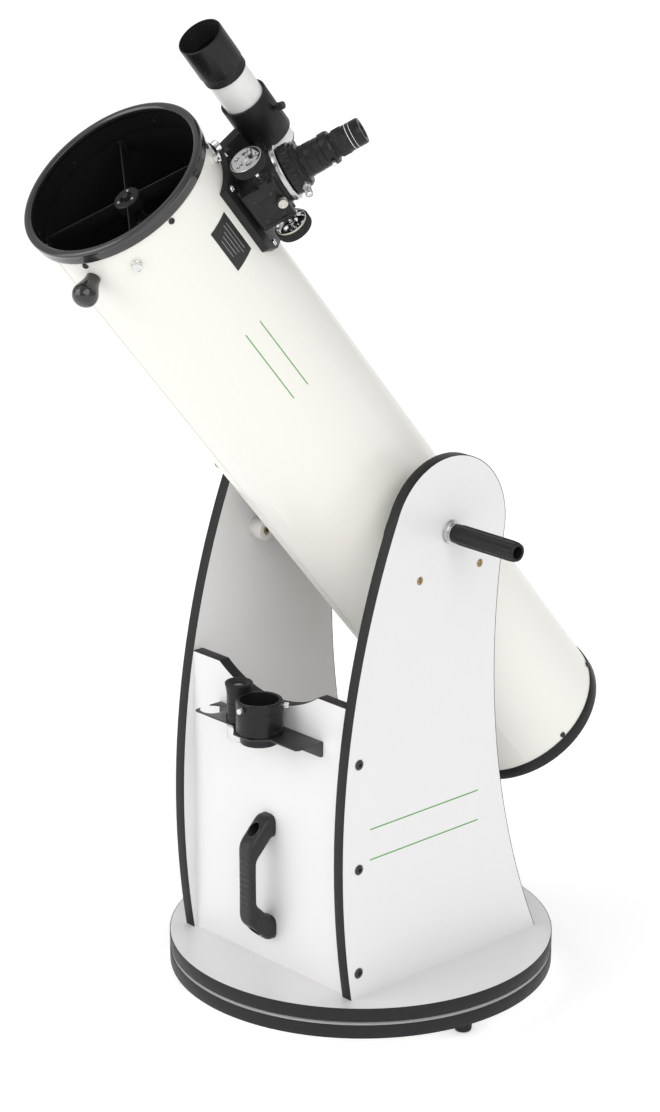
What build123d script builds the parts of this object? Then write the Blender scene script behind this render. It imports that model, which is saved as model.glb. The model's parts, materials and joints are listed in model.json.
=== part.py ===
from build123d import *
import os
from math import cos, sin, radians

os.makedirs("parts", exist_ok=True)

# Frame: +Z up, origin on the ground below the middle of the whole telescope, front board towards -Y.
# The altitude and azimuth axes cross at x = 0, y = axis_y. Sizes are in millimetres, and y values
# passed to the plane helpers are measured from the azimuth axis.

axis_y = 51.5

# base
disc_radius = 260.0          # both round boards
board_thickness = 19.0       # round boards
foot_height = 28.0
foot_radius = 12.0
foot_circle = 222.0
pad_gap = 4.5                # space between the two round boards
band = 1.0                   # edge banding thickness
pivot_radius = 6.0
deck = foot_height + 2 * board_thickness + pad_gap     # top of the azimuth board

# rocker box
axis_height = deck + 599.0   # altitude axis above the ground
side_thickness = 16.0
side_inner = 147.5           # inner face of each sideboard
side_outer = side_inner + side_thickness
side_top_radius = 100.0
front_face = -166.5          # y of the front board's face
front_thickness = 16.0
front_height = 398.0
front_dip = 30.0             # depth of the dip in the top edge
front_dip_half = 95.0
bolt_heights = (35.0, 180.0, 324.0)
bush_radius = 14.0
bush_spread = 53.74          # bush centres, forwards or back and down from the altitude axis
rack_top = 341.0             # above the azimuth board
rack_thickness = 2.0

# tube
tilt = 50.0                  # altitude of the tube as stored, degrees
tube_radius = 116.0
tube_wall = 1.2
tube_front = 631.0           # distances along the tube from the altitude axis
tube_rear = -474.0
ring_front = 635.0
ring_rear = -478.0
ring_radius = 120.0
hub_radius = 61.7            # altitude bearing hub
focuser_station = 520.0
focuser_angle = 50.5         # degrees around the tube from +X
finder_angle = 78.0
finder_offset = 187.5        # finder axis from the tube axis
finder_front = 688.0
mirror_face = -436.0
mirror_radius = 101.5
running = 0.05               # radial clearance of the running fits

right = Vector(1, 0, 0)
along = Vector(0, -cos(radians(tilt)), sin(radians(tilt)))     # towards the sky end
over = Vector(0, sin(radians(tilt)), cos(radians(tilt)))       # towards the tube's upper side
pivot = Vector(0, axis_y, axis_height)


def out_from(angle):
    """Unit vector out of the tube at an angle around it."""
    return right * cos(radians(angle)) + over * sin(radians(angle))


def tube_plane(station):
    """Plane across the tube, its normal towards the sky end."""
    return Plane(origin=pivot + along * station, x_dir=right, z_dir=along)


def radial_plane(angle, station, distance):
    """Plane facing out of the tube, local x towards the sky end."""
    outward = out_from(angle)
    return Plane(origin=pivot + along * station + outward * distance, x_dir=along, z_dir=outward)


def facing_side(sign, x, y=0.0, z=0.0):
    """Plane facing +X or -X, local x is Y."""
    return Plane(origin=(x, y + axis_y, z), x_dir=(0, 1, 0), z_dir=(sign, 0, 0))


def front_plane(y, x=0.0, z=0.0):
    """Plane facing -Y, local x is X and local y is Z."""
    return Plane(origin=(x, y + axis_y, z), x_dir=(1, 0, 0), z_dir=(0, -1, 0))


def disc(plane, radius, height, mode=Mode.ADD):
    """Round boss or hole on a plane."""
    with BuildSketch(plane) as outline:
        Circle(radius)
    extrude(outline.sketch, amount=height, mode=mode)


def hexagon(plane, radius, height, mode=Mode.ADD):
    """Six-sided boss or hole on a plane."""
    with BuildSketch(plane) as outline:
        RegularPolygon(radius, 6)
    extrude(outline.sketch, amount=height, mode=mode)


def block(plane, width, depth, height, mode=Mode.ADD):
    """Box standing on a plane, centred on its origin."""
    with BuildSketch(plane) as outline:
        Rectangle(width, depth)
    extrude(outline.sketch, amount=height, mode=mode)


def prism(plane, points, height, mode=Mode.ADD):
    """Polygon extruded from a plane."""
    with BuildSketch(plane) as outline:
        with BuildLine():
            Polyline(*points, close=True)
        make_face()
    extrude(outline.sketch, amount=height, mode=mode)


def turned(plane, profile, mode=Mode.ADD):
    """Solid of revolution about the plane's normal from (radius, height) pairs."""
    half = Plane(origin=plane.origin, x_dir=plane.x_dir, z_dir=-plane.y_dir)
    with BuildSketch(half) as outline:
        with BuildLine():
            Polyline(*profile, close=True)
        make_face()
    revolve(outline.sketch, axis=Axis(plane.origin, plane.z_dir), revolution_arc=360, mode=mode)


def polar(radius, angle):
    """Point on a circle about Z."""
    return (radius * cos(radians(angle)), radius * sin(radians(angle)))


def level_plane(x, y, z):
    """Horizontal plane facing up."""
    return Plane(origin=(x, y + axis_y, z), x_dir=(1, 0, 0), z_dir=(0, 0, 1))


# ---------------------------------------------------------------- ground board and feet
foot_angles = (-6, 114, 234)
pad_angles = (54, 174, 294)
ground_top = foot_height + board_thickness

with BuildPart() as ground_board:
    disc(level_plane(0, 0, foot_height), disc_radius - band, board_thickness)
    disc(level_plane(0, 0, foot_height), pivot_radius, board_thickness, Mode.SUBTRACT)
ground_board.part.label = "ground_board"
export_step(ground_board.part, "parts/ground_board.step")

with BuildPart() as ground_edge_band:
    disc(level_plane(0, 0, foot_height), disc_radius, board_thickness)
    disc(level_plane(0, 0, foot_height), disc_radius - band, board_thickness, Mode.SUBTRACT)
ground_edge_band.part.label = "ground_edge_band"
export_step(ground_edge_band.part, "parts/ground_edge_band.step")

with BuildPart() as ground_feet:
    for angle in foot_angles:
        x, y = polar(foot_circle, angle)
        foot_base = level_plane(x, y, 0)
        turned(foot_base, [(4.5, 0), (foot_radius - 3, 0), (foot_radius - 0.8, 2.2), (foot_radius, 6),
                           (foot_radius + 0.6, foot_height), (0, foot_height), (0, 5), (4.5, 5)])
ground_feet.part.label = "ground_feet"
export_step(ground_feet.part, "parts/ground_feet.step")

with BuildPart() as azimuth_pads:
    for angle in pad_angles:
        x, y = polar(foot_circle - 12, angle)
        pad_base = Plane(origin=(x, y + axis_y, ground_top), x_dir=(cos(radians(angle)),
                                                                    sin(radians(angle)), 0),
                         z_dir=(0, 0, 1))
        block(pad_base, 30, 30, pad_gap)
azimuth_pads.part.label = "azimuth_pads"
export_step(azimuth_pads.part, "parts/azimuth_pads.step")

with BuildPart() as pivot_bolt:
    disc(level_plane(0, 0, foot_height - 2), 16, 2)
    hexagon(level_plane(0, 0, foot_height - 8), 10, 6)
    disc(level_plane(0, 0, foot_height - 2), pivot_radius, deck + 16 - foot_height)
    disc(level_plane(0, 0, ground_top), 14, pad_gap - 0.4)
    disc(level_plane(0, 0, deck + 0.4), 16, 2)
    hexagon(level_plane(0, 0, deck + 2.4), 10, 9)
pivot_bolt.part.label = "pivot_bolt"
export_step(pivot_bolt.part, "parts/pivot_bolt.step")

# ---------------------------------------------------------------- azimuth board
azimuth_low = deck - board_thickness

with BuildPart() as azimuth_board:
    disc(level_plane(0, 0, azimuth_low), disc_radius - band, board_thickness)
    disc(level_plane(0, 0, azimuth_low), pivot_radius + 0.3, board_thickness, Mode.SUBTRACT)
azimuth_board.part.label = "azimuth_board"
export_step(azimuth_board.part, "parts/azimuth_board.step")

with BuildPart() as azimuth_edge_band:
    disc(level_plane(0, 0, azimuth_low), disc_radius, board_thickness)
    disc(level_plane(0, 0, azimuth_low), disc_radius - band, board_thickness, Mode.SUBTRACT)
azimuth_edge_band.part.label = "azimuth_edge_band"
export_step(azimuth_edge_band.part, "parts/azimuth_edge_band.step")


# ---------------------------------------------------------------- sideboards
def side_outline(plane, inset, height, mode=Mode.ADD):
    """Sideboard shape: bowed front edge, round top, waisted rear edge."""
    top = side_top_radius - inset
    front_low = (-172 + inset, deck)
    front_mid = (-187.5 + inset, deck + 195)
    front_high = (-0.918 * top, axis_height + 0.397 * top)
    rear_high = (0.982 * top, axis_height - 0.19 * top)
    rear_mid = (84.0 - inset, deck + 392)
    rear_low = (171.5 - inset, deck)
    with BuildSketch(plane) as outline:
        with BuildLine():
            ThreePointArc(front_low, front_mid, front_high)
            ThreePointArc(front_high, (0, axis_height + top), rear_high)
            ThreePointArc(rear_high, rear_mid, rear_low)
            Line(rear_low, front_low)
        make_face()
    extrude(outline.sketch, amount=height, mode=mode)


bolt_y = front_face + front_thickness / 2
bush_spots = [(-bush_spread, axis_height - bush_spread), (bush_spread, axis_height - bush_spread)]


def cut_side_holes(sign):
    """Holes of one sideboard: handle, bush screws and assembly bolts."""
    outer = side_outer * sign
    into = -sign
    handle = facing_side(into, outer, 0, axis_height)
    disc(handle, 6.5, side_thickness, Mode.SUBTRACT)
    for y, z in bush_spots:
        spot = facing_side(into, outer, y, z)
        disc(spot, 2.5, side_thickness, Mode.SUBTRACT)
        disc(spot, 5.5, 3.0, Mode.SUBTRACT)
    for z in bolt_heights:
        spot = facing_side(into, outer, bolt_y, deck + z)
        disc(spot, 3.5, side_thickness, Mode.SUBTRACT)
        disc(spot, 7.0, 3.0, Mode.SUBTRACT)


with BuildPart() as sideboard_right:
    side_outline(facing_side(1, side_inner), band, side_thickness)
    cut_side_holes(1)
sideboard_right.part.label = "sideboard_right"
export_step(sideboard_right.part, "parts/sideboard_right.step")

with BuildPart() as sideboard_left:
    side_outline(facing_side(1, -side_outer), band, side_thickness)
    cut_side_holes(-1)
sideboard_left.part.label = "sideboard_left"
export_step(sideboard_left.part, "parts/sideboard_left.step")


# ---------------------------------------------------------------- front board
def front_outline(plane, height, drop, mode=Mode.ADD):
    """Front board shape with a shallow dip in its top edge."""
    top = deck + front_height - drop
    half = side_inner
    with BuildSketch(plane) as outline:
        with BuildLine():
            Line((-half, deck), (half, deck))
            Line((half, deck), (half, top))
            Line((half, top), (front_dip_half, top))
            ThreePointArc((front_dip_half, top), (0, top - front_dip), (-front_dip_half, top))
            Line((-front_dip_half, top), (-half, top))
            Line((-half, top), (-half, deck))
        make_face()
    extrude(outline.sketch, amount=height, mode=mode)


front_back = front_face + front_thickness
handle_bolts = (deck + 50.0, deck + 195.0)
rack_screw_spots = ((-52.0, deck + 329.0), (36.0, deck + 329.0))

with BuildPart() as front_board:
    front_outline(front_plane(front_back), front_thickness, band)
    for side in (-1, 1):
        for z in bolt_heights:
            hole = facing_side(-side, side * side_inner, bolt_y, deck + z)
            disc(hole, 3.5, 40, Mode.SUBTRACT)
    for z in handle_bolts:
        disc(front_plane(front_back, 0, z), 3.0, front_thickness, Mode.SUBTRACT)
    for x, z in rack_screw_spots:
        disc(front_plane(front_back, x, z), 1.8, front_thickness, Mode.SUBTRACT)
front_board.part.label = "front_board"
export_step(front_board.part, "parts/front_board.step")

with BuildPart() as board_edge_bands:
    for start in (side_inner, -side_outer):
        side_outline(facing_side(1, start), 0, side_thickness)
    for start in (side_inner, -side_outer):
        side_outline(facing_side(1, start), band, side_thickness, Mode.SUBTRACT)
    with BuildSketch(front_plane(front_back)) as strip:
        with BuildLine():
            top = deck + front_height
            Line((-side_inner, top - band), (-front_dip_half, top - band))
            ThreePointArc((-front_dip_half, top - band), (0, top - band - front_dip),
                          (front_dip_half, top - band))
            Line((front_dip_half, top - band), (side_inner, top - band))
            Line((side_inner, top - band), (side_inner, top))
            Line((side_inner, top), (front_dip_half, top))
            ThreePointArc((front_dip_half, top), (0, top - front_dip), (-front_dip_half, top))
            Line((-front_dip_half, top), (-side_inner, top))
            Line((-side_inner, top), (-side_inner, top - band))
        make_face()
    extrude(amount=front_thickness)
board_edge_bands.part.label = "board_edge_bands"
export_step(board_edge_bands.part, "parts/board_edge_bands.step")

with BuildPart() as assembly_bolts:
    for side in (-1, 1):
        for z in bolt_heights:
            head = facing_side(-side, side * side_outer, bolt_y, deck + z)
            turned(head, [(0, 3), (0, 56), (3.5, 56), (3.5, 3), (7, 3), (7, 0.4), (5.8, -1.4), (3.5, -2),
                          (3.5, 0.6), (0, 0.6)])
    for z in handle_bolts:
        head = front_plane(front_face - 8, 0, z)
        turned(head, [(0, -30), (3, -30), (3, 0), (6, 0), (6, 4), (4.5, 6), (3, 6), (3, 3), (0, 3)])
        hexagon(front_plane(front_back + 5, 0, z), 5.8, 5)
    for x, z in rack_screw_spots:
        turned(front_plane(front_face - rack_thickness, x, z),
               [(0, -16), (1.8, -14), (1.8, 0), (4, 0), (3.4, 2), (0, 2.6)])
assembly_bolts.part.label = "assembly_bolts"
export_step(assembly_bolts.part, "parts/assembly_bolts.step")

with BuildPart() as altitude_bushes:
    for side in (-1, 1):
        for y, z in bush_spots:
            seat = facing_side(-side, side * side_inner, y, z)
            turned(seat, [(2.5, 0), (bush_radius, 0), (bush_radius, 21), (bush_radius - 1, 22), (6, 22),
                          (6, 17),
                          (2.5, 17)])
altitude_bushes.part.label = "altitude_bushes"
export_step(altitude_bushes.part, "parts/altitude_bushes.step")

with BuildPart() as bush_screws:
    for side in (-1, 1):
        for y, z in bush_spots:
            head = facing_side(-side, side * side_outer, y, z)
            turned(head, [(0, 0.8), (2, 0.8), (2, -0.8), (5.0, -0.4), (5.5, 0.4), (5.5, 3), (2.5, 3),
                          (2.5, 37),
                          (0, 37)])
            hexagon(facing_side(-side, side * (side_outer - 33), y, z), 4.6, 4)
bush_screws.part.label = "bush_screws"
export_step(bush_screws.part, "parts/bush_screws.step")

# ---------------------------------------------------------------- eyepiece rack and carry handle
rack_z = deck + rack_top
rack_hole = (-80.0, -193.0)
spare_eyepiece_at = (-26.5, -193.0)
spare_adapter_at = (22.0, -201.0)
small_hole = 16.1
large_hole = 25.7

with BuildPart() as eyepiece_rack:
    prism(level_plane(0, 0, rack_z - rack_thickness),
          [(-94, front_face), (-94, -208), (-91, -212), (-18, -212), (-4, -222), (6, -232), (38, -232),
           (54, -212),
           (102, -212), (105, -208), (105, front_face)], rack_thickness)
    prism(front_plane(front_face, 0, 0),
          [(-94, rack_z), (105, rack_z), (105, rack_z - 20), (102, rack_z - 22), (-91, rack_z - 22),
           (-94, rack_z - 20)], rack_thickness)
    for x, y in (rack_hole, spare_eyepiece_at):
        disc(level_plane(x, y, rack_z - 5), small_hole, 8, Mode.SUBTRACT)
    disc(level_plane(spare_adapter_at[0], spare_adapter_at[1], rack_z - 5), large_hole, 8, Mode.SUBTRACT)
    for x, z in rack_screw_spots:
        disc(front_plane(front_face, x, z), 1.8, 5, Mode.SUBTRACT)
eyepiece_rack.part.label = "eyepiece_rack"
export_step(eyepiece_rack.part, "parts/eyepiece_rack.step")

with BuildPart() as carry_handle:
    grip_out = 44.0
    prism(facing_side(1, -14),
          [(front_face, deck + 34), (front_face - 11, deck + 34), (front_face - grip_out, deck + 67),
           (front_face - grip_out, deck + 178), (front_face - 11, deck + 211), (front_face, deck + 211),
           (front_face, deck + 179), (front_face - 5, deck + 179), (front_face - 31, deck + 153),
           (front_face - 31, deck + 92), (front_face - 5, deck + 66), (front_face, deck + 66)], 28)
    grip_edges = [e for e in carry_handle.edges().filter_by(Axis.Z)
                  if e.center().Y < axis_y + front_face - 20]
    fillet(grip_edges, 4.5)
    for z in handle_bolts:
        disc(front_plane(front_face, 0, z), 3.0, 60, Mode.SUBTRACT)
        disc(front_plane(front_face - 8, 0, z), 8.0, 60, Mode.SUBTRACT)
carry_handle.part.label = "carry_handle"
export_step(carry_handle.part, "parts/carry_handle.step")

# ---------------------------------------------------------------- tube, rings
ring_screw_angles = (-72, -12, 48, 108, 168, 228)
front_screw_station = 611.0
rear_screw_station = -453.0
spider_angles = (-43, 47, 137, 227)
spider_station = 591.0
tube_inner = tube_radius - tube_wall
cell_angles = (90, 210, 330)
knob_circle = 78.0
lock_circle = 52.0
base_screw_spots = ((-58, 32), (-60, -24), (44, 38), (44, -26))     # along the tube, across it


def bearing_plane(side, x):
    """Plane on the altitude axis facing out of the tube's side."""
    return facing_side(side, side * x, 0, axis_height)


with BuildPart() as tube:
    disc(tube_plane(tube_rear), tube_radius, tube_front - tube_rear)
    disc(tube_plane(tube_rear), tube_inner, tube_front - tube_rear, Mode.SUBTRACT)
    disc(radial_plane(focuser_angle, focuser_station, 100), 30, 30, Mode.SUBTRACT)
    for angle in ring_screw_angles:
        for station in (front_screw_station, rear_screw_station):
            disc(radial_plane(angle, station, 105), 1.8, 14, Mode.SUBTRACT)
    for angle in spider_angles:
        disc(radial_plane(angle, spider_station, 100), 2.5, 20, Mode.SUBTRACT)
    for side in (-1, 1):
        disc(bearing_plane(side, 100), 8, 20, Mode.SUBTRACT)
tube.part.label = "tube"
export_step(tube.part, "parts/tube.step")

with BuildPart() as front_ring:
    turned(tube_plane(617), [(tube_radius, 0), (tube_radius + 2.2, 0), (ring_radius - 0.6, 1.2),
                             (ring_radius, 4),
                             (ring_radius, 12), (ring_radius + 0.8, 14), (ring_radius + 0.4, 16.8),
                             (ring_radius - 2, 18), (111, 18), (110, 16.5), (110, 13), (tube_inner - 2, 10),
                             (tube_inner - 2, -15), (tube_inner, -15), (tube_inner, 14), (tube_radius, 14)])
    for angle in ring_screw_angles:
        disc(radial_plane(angle, front_screw_station, 105), 1.8, 14, Mode.SUBTRACT)
front_ring.part.label = "front_ring"
export_step(front_ring.part, "parts/front_ring.step")

with BuildPart() as rear_ring:
    turned(tube_plane(ring_rear), [(103, 0), (tube_radius + 0.6, 0), (tube_radius + 1.6, 1.2),
                                   (tube_radius + 1.6, 19), (tube_radius + 1.0, 20), (tube_radius, 20),
                                   (tube_radius, 4), (tube_inner, 4), (tube_inner, 30),
                                   (tube_inner - 2, 30),
                                   (tube_inner - 2, 4), (103, 4)])
    for angle in cell_angles:
        arm = Plane(origin=pivot + along * ring_rear, x_dir=out_from(angle), z_dir=along)
        prism(arm, [(0, -13), (108, -13), (108, 13), (0, 13)], 4)
    disc(tube_plane(ring_rear), 30, 4)
    disc(tube_plane(ring_rear), 12, 4, Mode.SUBTRACT)
    for angle in ring_screw_angles:
        disc(radial_plane(angle, rear_screw_station, 105), 1.8, 14, Mode.SUBTRACT)
    for angle in cell_angles:
        for circle, hole_radius in ((knob_circle, 3.0), (lock_circle, 2.5)):
            centre = pivot + along * (ring_rear - 1) + out_from(angle) * circle
            disc(Plane(origin=centre, x_dir=right, z_dir=along), hole_radius, 6, Mode.SUBTRACT)
rear_ring.part.label = "rear_ring"
export_step(rear_ring.part, "parts/rear_ring.step")

with BuildPart() as ring_screws:
    for angle in ring_screw_angles:
        for station, inward in ((front_screw_station, 4), (rear_screw_station, 4)):
            turned(radial_plane(angle, station, tube_radius),
                   [(0, -inward), (1.8, -inward), (1.8, 0.1), (4, 0.1), (3.5, 1.7), (1.8, 2.6), (0, 2.7)])
ring_screws.part.label = "ring_screws"
export_step(ring_screws.part, "parts/ring_screws.step")

# ---------------------------------------------------------------- altitude bearings
with BuildPart() as altitude_bearings:
    for side in (-1, 1):
        turned(bearing_plane(side, 84), [(0, 0), (hub_radius, 0), (hub_radius, 61),
                                         (hub_radius - 1, 62), (0, 62)])
        disc(bearing_plane(side, 84), 5.0, 70, Mode.SUBTRACT)
    disc(tube_plane(-150), tube_radius, 300, Mode.SUBTRACT)
altitude_bearings.part.label = "altitude_bearings"
export_step(altitude_bearings.part, "parts/altitude_bearings.step")


def make_stem(side):
    """Threaded stud with its stack of washers, screwed into the altitude bearing."""
    turned(bearing_plane(side, 0),
           [(0, 128), (4.95, 128), (4.95, side_outer + 0.3), (16, side_outer + 0.3), (16, side_outer + 2.3),
            (13.5, side_outer + 2.3), (13.5, side_outer + 5), (15, side_outer + 5), (15, side_outer + 7),
            (12.5, side_outer + 7), (12.5, side_outer + 10), (4.95, side_outer + 10),
            (4.95, side_outer + 90),
            (0, side_outer + 90)])


def make_grip(side):
    """Long fluted rubber grip with a hollow end."""
    start = side_outer + 10
    turned(bearing_plane(side, 0),
           [(4.95, start), (11.5, start), (12.5, start + 2), (13.5, start + 6), (13.5, start + 98),
            (12.5, start + 107), (11, start + 108), (8, start + 108), (8, start + 92), (4.95, start + 80)])
    for index in range(8):
        angle = index * 45 + 22.5
        groove = facing_side(side, side * (start + 9), 15.2 * cos(radians(angle)),
                             axis_height + 15.2 * sin(radians(angle)))
        disc(groove, 3.2, 100, Mode.SUBTRACT)


with BuildPart() as tension_stem_right:
    make_stem(1)
tension_stem_right.part.label = "tension_stem_right"
export_step(tension_stem_right.part, "parts/tension_stem_right.step")

with BuildPart() as tension_grip_right:
    make_grip(1)
tension_grip_right.part.label = "tension_grip_right"
export_step(tension_grip_right.part, "parts/tension_grip_right.step")

with BuildPart() as tension_stem_left:
    make_stem(-1)
tension_stem_left.part.label = "tension_stem_left"
export_step(tension_stem_left.part, "parts/tension_stem_left.step")

with BuildPart() as tension_grip_left:
    make_grip(-1)
tension_grip_left.part.label = "tension_grip_left"
export_step(tension_grip_left.part, "parts/tension_grip_left.step")

# ---------------------------------------------------------------- spider, secondary, pull knob, nameplate
with BuildPart() as spider:
    turned(tube_plane(spider_station), [(4, -8), (15, -8), (17, -6), (17, 8), (15.5, 9), (8, 9), (7, 6),
                                        (4, 6)])
    for angle in spider_angles:
        arm = Plane(origin=pivot + along * (spider_station - 9), x_dir=out_from(angle), z_dir=along)
        prism(arm, [(16, -0.6), (110, -0.6), (110, -3), (112, -3), (112, 3), (110, 3), (110, 0.6),
                    (16, 0.6)], 18)
        disc(radial_plane(angle, spider_station, 110), 2.5, 2, Mode.SUBTRACT)
    for index in range(3):
        spot = pivot + along * spider_station + out_from(2 + index * 120) * 11
        disc(Plane(origin=spot, x_dir=right, z_dir=along), 2.0, 30, Mode.SUBTRACT)
        disc(Plane(origin=spot, x_dir=right, z_dir=-along), 2.0, 30, Mode.SUBTRACT)
spider.part.label = "spider"
export_step(spider.part, "parts/spider.step")

with BuildPart() as spider_screws:
    for angle in spider_angles:
        turned(radial_plane(angle, spider_station, tube_radius),
               [(0, -5.5), (2.5, -5.5), (2.5, 0.1), (6.5, 0.1), (6.5, 3), (5.8, 3.6), (5.8, 8), (5, 9),
                (0, 9)])
spider_screws.part.label = "spider_screws"
export_step(spider_screws.part, "parts/spider_screws.step")

mirror_normal = (out_from(focuser_angle) - along).normalized()
diagonal = Plane(origin=pivot + along * focuser_station, x_dir=out_from(focuser_angle + 90),
                 z_dir=mirror_normal)

with BuildPart() as secondary_holder:
    disc(tube_plane(focuser_station - 30), 23, 58)
    block(diagonal.offset(-5), 200, 200, 100, Mode.SUBTRACT)
    disc(tube_plane(focuser_station + 28), 14, 6)
    disc(tube_plane(focuser_station + 34), 4, spider_station - focuser_station - 22)
    for index in range(3):
        spot = pivot + along * (focuser_station + 30) + out_from(2 + index * 120) * 11
        disc(Plane(origin=spot, x_dir=right, z_dir=along), 2.0, spider_station - focuser_station - 22)
secondary_holder.part.label = "secondary_holder"
export_step(secondary_holder.part, "parts/secondary_holder.step")

with BuildPart() as secondary_mirror:
    disc(tube_plane(focuser_station - 50), 25, 100)
    block(diagonal, 200, 200, 100, Mode.SUBTRACT)
    block(diagonal.offset(-105), 200, 200, 100, Mode.SUBTRACT)
secondary_mirror.part.label = "secondary_mirror"
export_step(secondary_mirror.part, "parts/secondary_mirror.step")

with BuildPart() as pull_knob:
    turned(radial_plane(-73, 590, tube_radius),
           [(0, 0.6), (9, 0.6), (9, 3), (9.5, 6), (12, 12), (14.6, 18), (15.9, 23), (15.4, 29),
            (13, 34), (8.5, 38),
            (4, 39.6), (0, 40)])
    disc(tube_plane(500), tube_radius, 200, Mode.SUBTRACT)
pull_knob.part.label = "pull_knob"
export_step(pull_knob.part, "parts/pull_knob.step")

with BuildPart() as nameplate:
    block(radial_plane(10.7, 523.5, 100), 65, 35, 30)
    turned(tube_plane(480), [(tube_radius + 0.5, 0), (200, 0), (200, 90), (tube_radius + 0.5, 90)],
           Mode.SUBTRACT)
    disc(tube_plane(480), tube_radius, 90, Mode.SUBTRACT)
nameplate.part.label = "nameplate"
export_step(nameplate.part, "parts/nameplate.step")

# ---------------------------------------------------------------- mirror cell
with BuildPart() as mirror_cell:
    disc(tube_plane(-466), 103, 6)
    for angle in cell_angles:
        window = pivot + along * -466 + out_from(angle + 60) * 55
        disc(Plane(origin=window, x_dir=right, z_dir=along), 24, 6, Mode.SUBTRACT)
        clip = Plane(origin=pivot + along * -466, x_dir=out_from(angle + 60), z_dir=along)
        prism(clip, [(102.2, -7), (106, -7), (106, 7), (102.2, 7)], 32.2)
        lip = Plane(origin=pivot + along * -435.8, x_dir=out_from(angle + 60), z_dir=along)
        prism(lip, [(97, -7), (106, -7), (106, 7), (97, 7)], 2)
        centre = pivot + along * -466 + out_from(angle) * knob_circle
        disc(Plane(origin=centre, x_dir=right, z_dir=along), 3.0, 6, Mode.SUBTRACT)
mirror_cell.part.label = "mirror_cell"
export_step(mirror_cell.part, "parts/mirror_cell.step")

with BuildPart() as primary_mirror:
    turned(tube_plane(-460), [(0, 0), (mirror_radius, 0), (mirror_radius, 23.5), (mirror_radius - 0.5, 24),
                              (70, 22.9), (35, 22.2), (0, 22)])
primary_mirror.part.label = "primary_mirror"
export_step(primary_mirror.part, "parts/primary_mirror.step")


def make_cell_knob(index):
    """Knurled collimation knob on its screw."""
    centre = pivot + along * ring_rear + out_from(cell_angles[index]) * knob_circle
    axis = Plane(origin=centre, x_dir=right, z_dir=along)
    turned(axis, [(0, -13), (8, -13), (9, -12), (9, -1.5), (8, -0.5), (2.95, -0.5), (2.95, 17), (0, 17)])


def make_lock_screw(index):
    """Small lock screw bearing on the back of the mirror cell."""
    centre = pivot + along * ring_rear + out_from(cell_angles[index]) * lock_circle
    axis = Plane(origin=centre, x_dir=right, z_dir=along)
    turned(axis, [(0, -9), (5.4, -9), (6, -8.2), (6, -1), (5.4, -0.4), (2.45, -0.4), (2.45, 11.6),
                  (0, 11.8)])


with BuildPart() as collimation_knob_1:
    make_cell_knob(0)
collimation_knob_1.part.label = "collimation_knob_1"
export_step(collimation_knob_1.part, "parts/collimation_knob_1.step")

with BuildPart() as collimation_knob_2:
    make_cell_knob(1)
collimation_knob_2.part.label = "collimation_knob_2"
export_step(collimation_knob_2.part, "parts/collimation_knob_2.step")

with BuildPart() as collimation_knob_3:
    make_cell_knob(2)
collimation_knob_3.part.label = "collimation_knob_3"
export_step(collimation_knob_3.part, "parts/collimation_knob_3.step")

with BuildPart() as cell_lock_screws:
    for index in range(3):
        make_lock_screw(index)
cell_lock_screws.part.label = "cell_lock_screws"
export_step(cell_lock_screws.part, "parts/cell_lock_screws.step")

# ---------------------------------------------------------------- focuser
draw_radius = 27.0
axle_height = 151.5
knob_shift = 8.5                 # the knobs' middle from the focuser's axis, towards the sky end
lock_screw_at = (-1.0, 160.3)    # along the tube, and height, just past the pinion
flange_base = 170.0
flange_top = 177.0
axle_side = 35.0
axle_radius = 3.0
pinion_radius = 6.0


def focus_plane(height):
    """Plane across the focuser, local x towards the sky end, local y across the tube."""
    return radial_plane(focuser_angle, focuser_station, height)


def axle_plane(offset):
    """Plane across the focus knobs' axle."""
    base = focus_plane(axle_height)
    centre = base.origin + base.y_dir * axle_side + base.x_dir * offset
    return Plane(origin=centre, x_dir=base.y_dir, z_dir=base.x_dir)


def across_plane(x, height, y):
    """Plane on the focuser's near side, facing across the tube."""
    base = focus_plane(height)
    centre = base.origin + base.x_dir * x + base.y_dir * y
    return Plane(origin=centre, x_dir=base.x_dir, z_dir=base.y_dir)


with BuildPart() as focuser_base:
    prism(focus_plane(90), [(-76, 8), (-67, 33), (-50, 49.5), (53, 49.5), (53, -30),
                            (46, -37), (-66, -37), (-75, -16)], 60)
    turned(tube_plane(430), [(tube_radius + 8, 0), (220, 0), (220, 160), (tube_radius + 8, 160)],
           Mode.SUBTRACT)
    disc(tube_plane(430), tube_radius, 160, Mode.SUBTRACT)
    disc(focus_plane(90), 30, 60, Mode.SUBTRACT)
    for x, y in base_screw_spots:
        spot = focus_plane(90)
        centre = spot.origin + spot.x_dir * x + spot.y_dir * y
        disc(Plane(origin=centre, x_dir=spot.x_dir, z_dir=spot.z_dir), 2.0, 60, Mode.SUBTRACT)
focuser_base.part.label = "focuser_base"
export_step(focuser_base.part, "parts/focuser_base.step")

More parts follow.
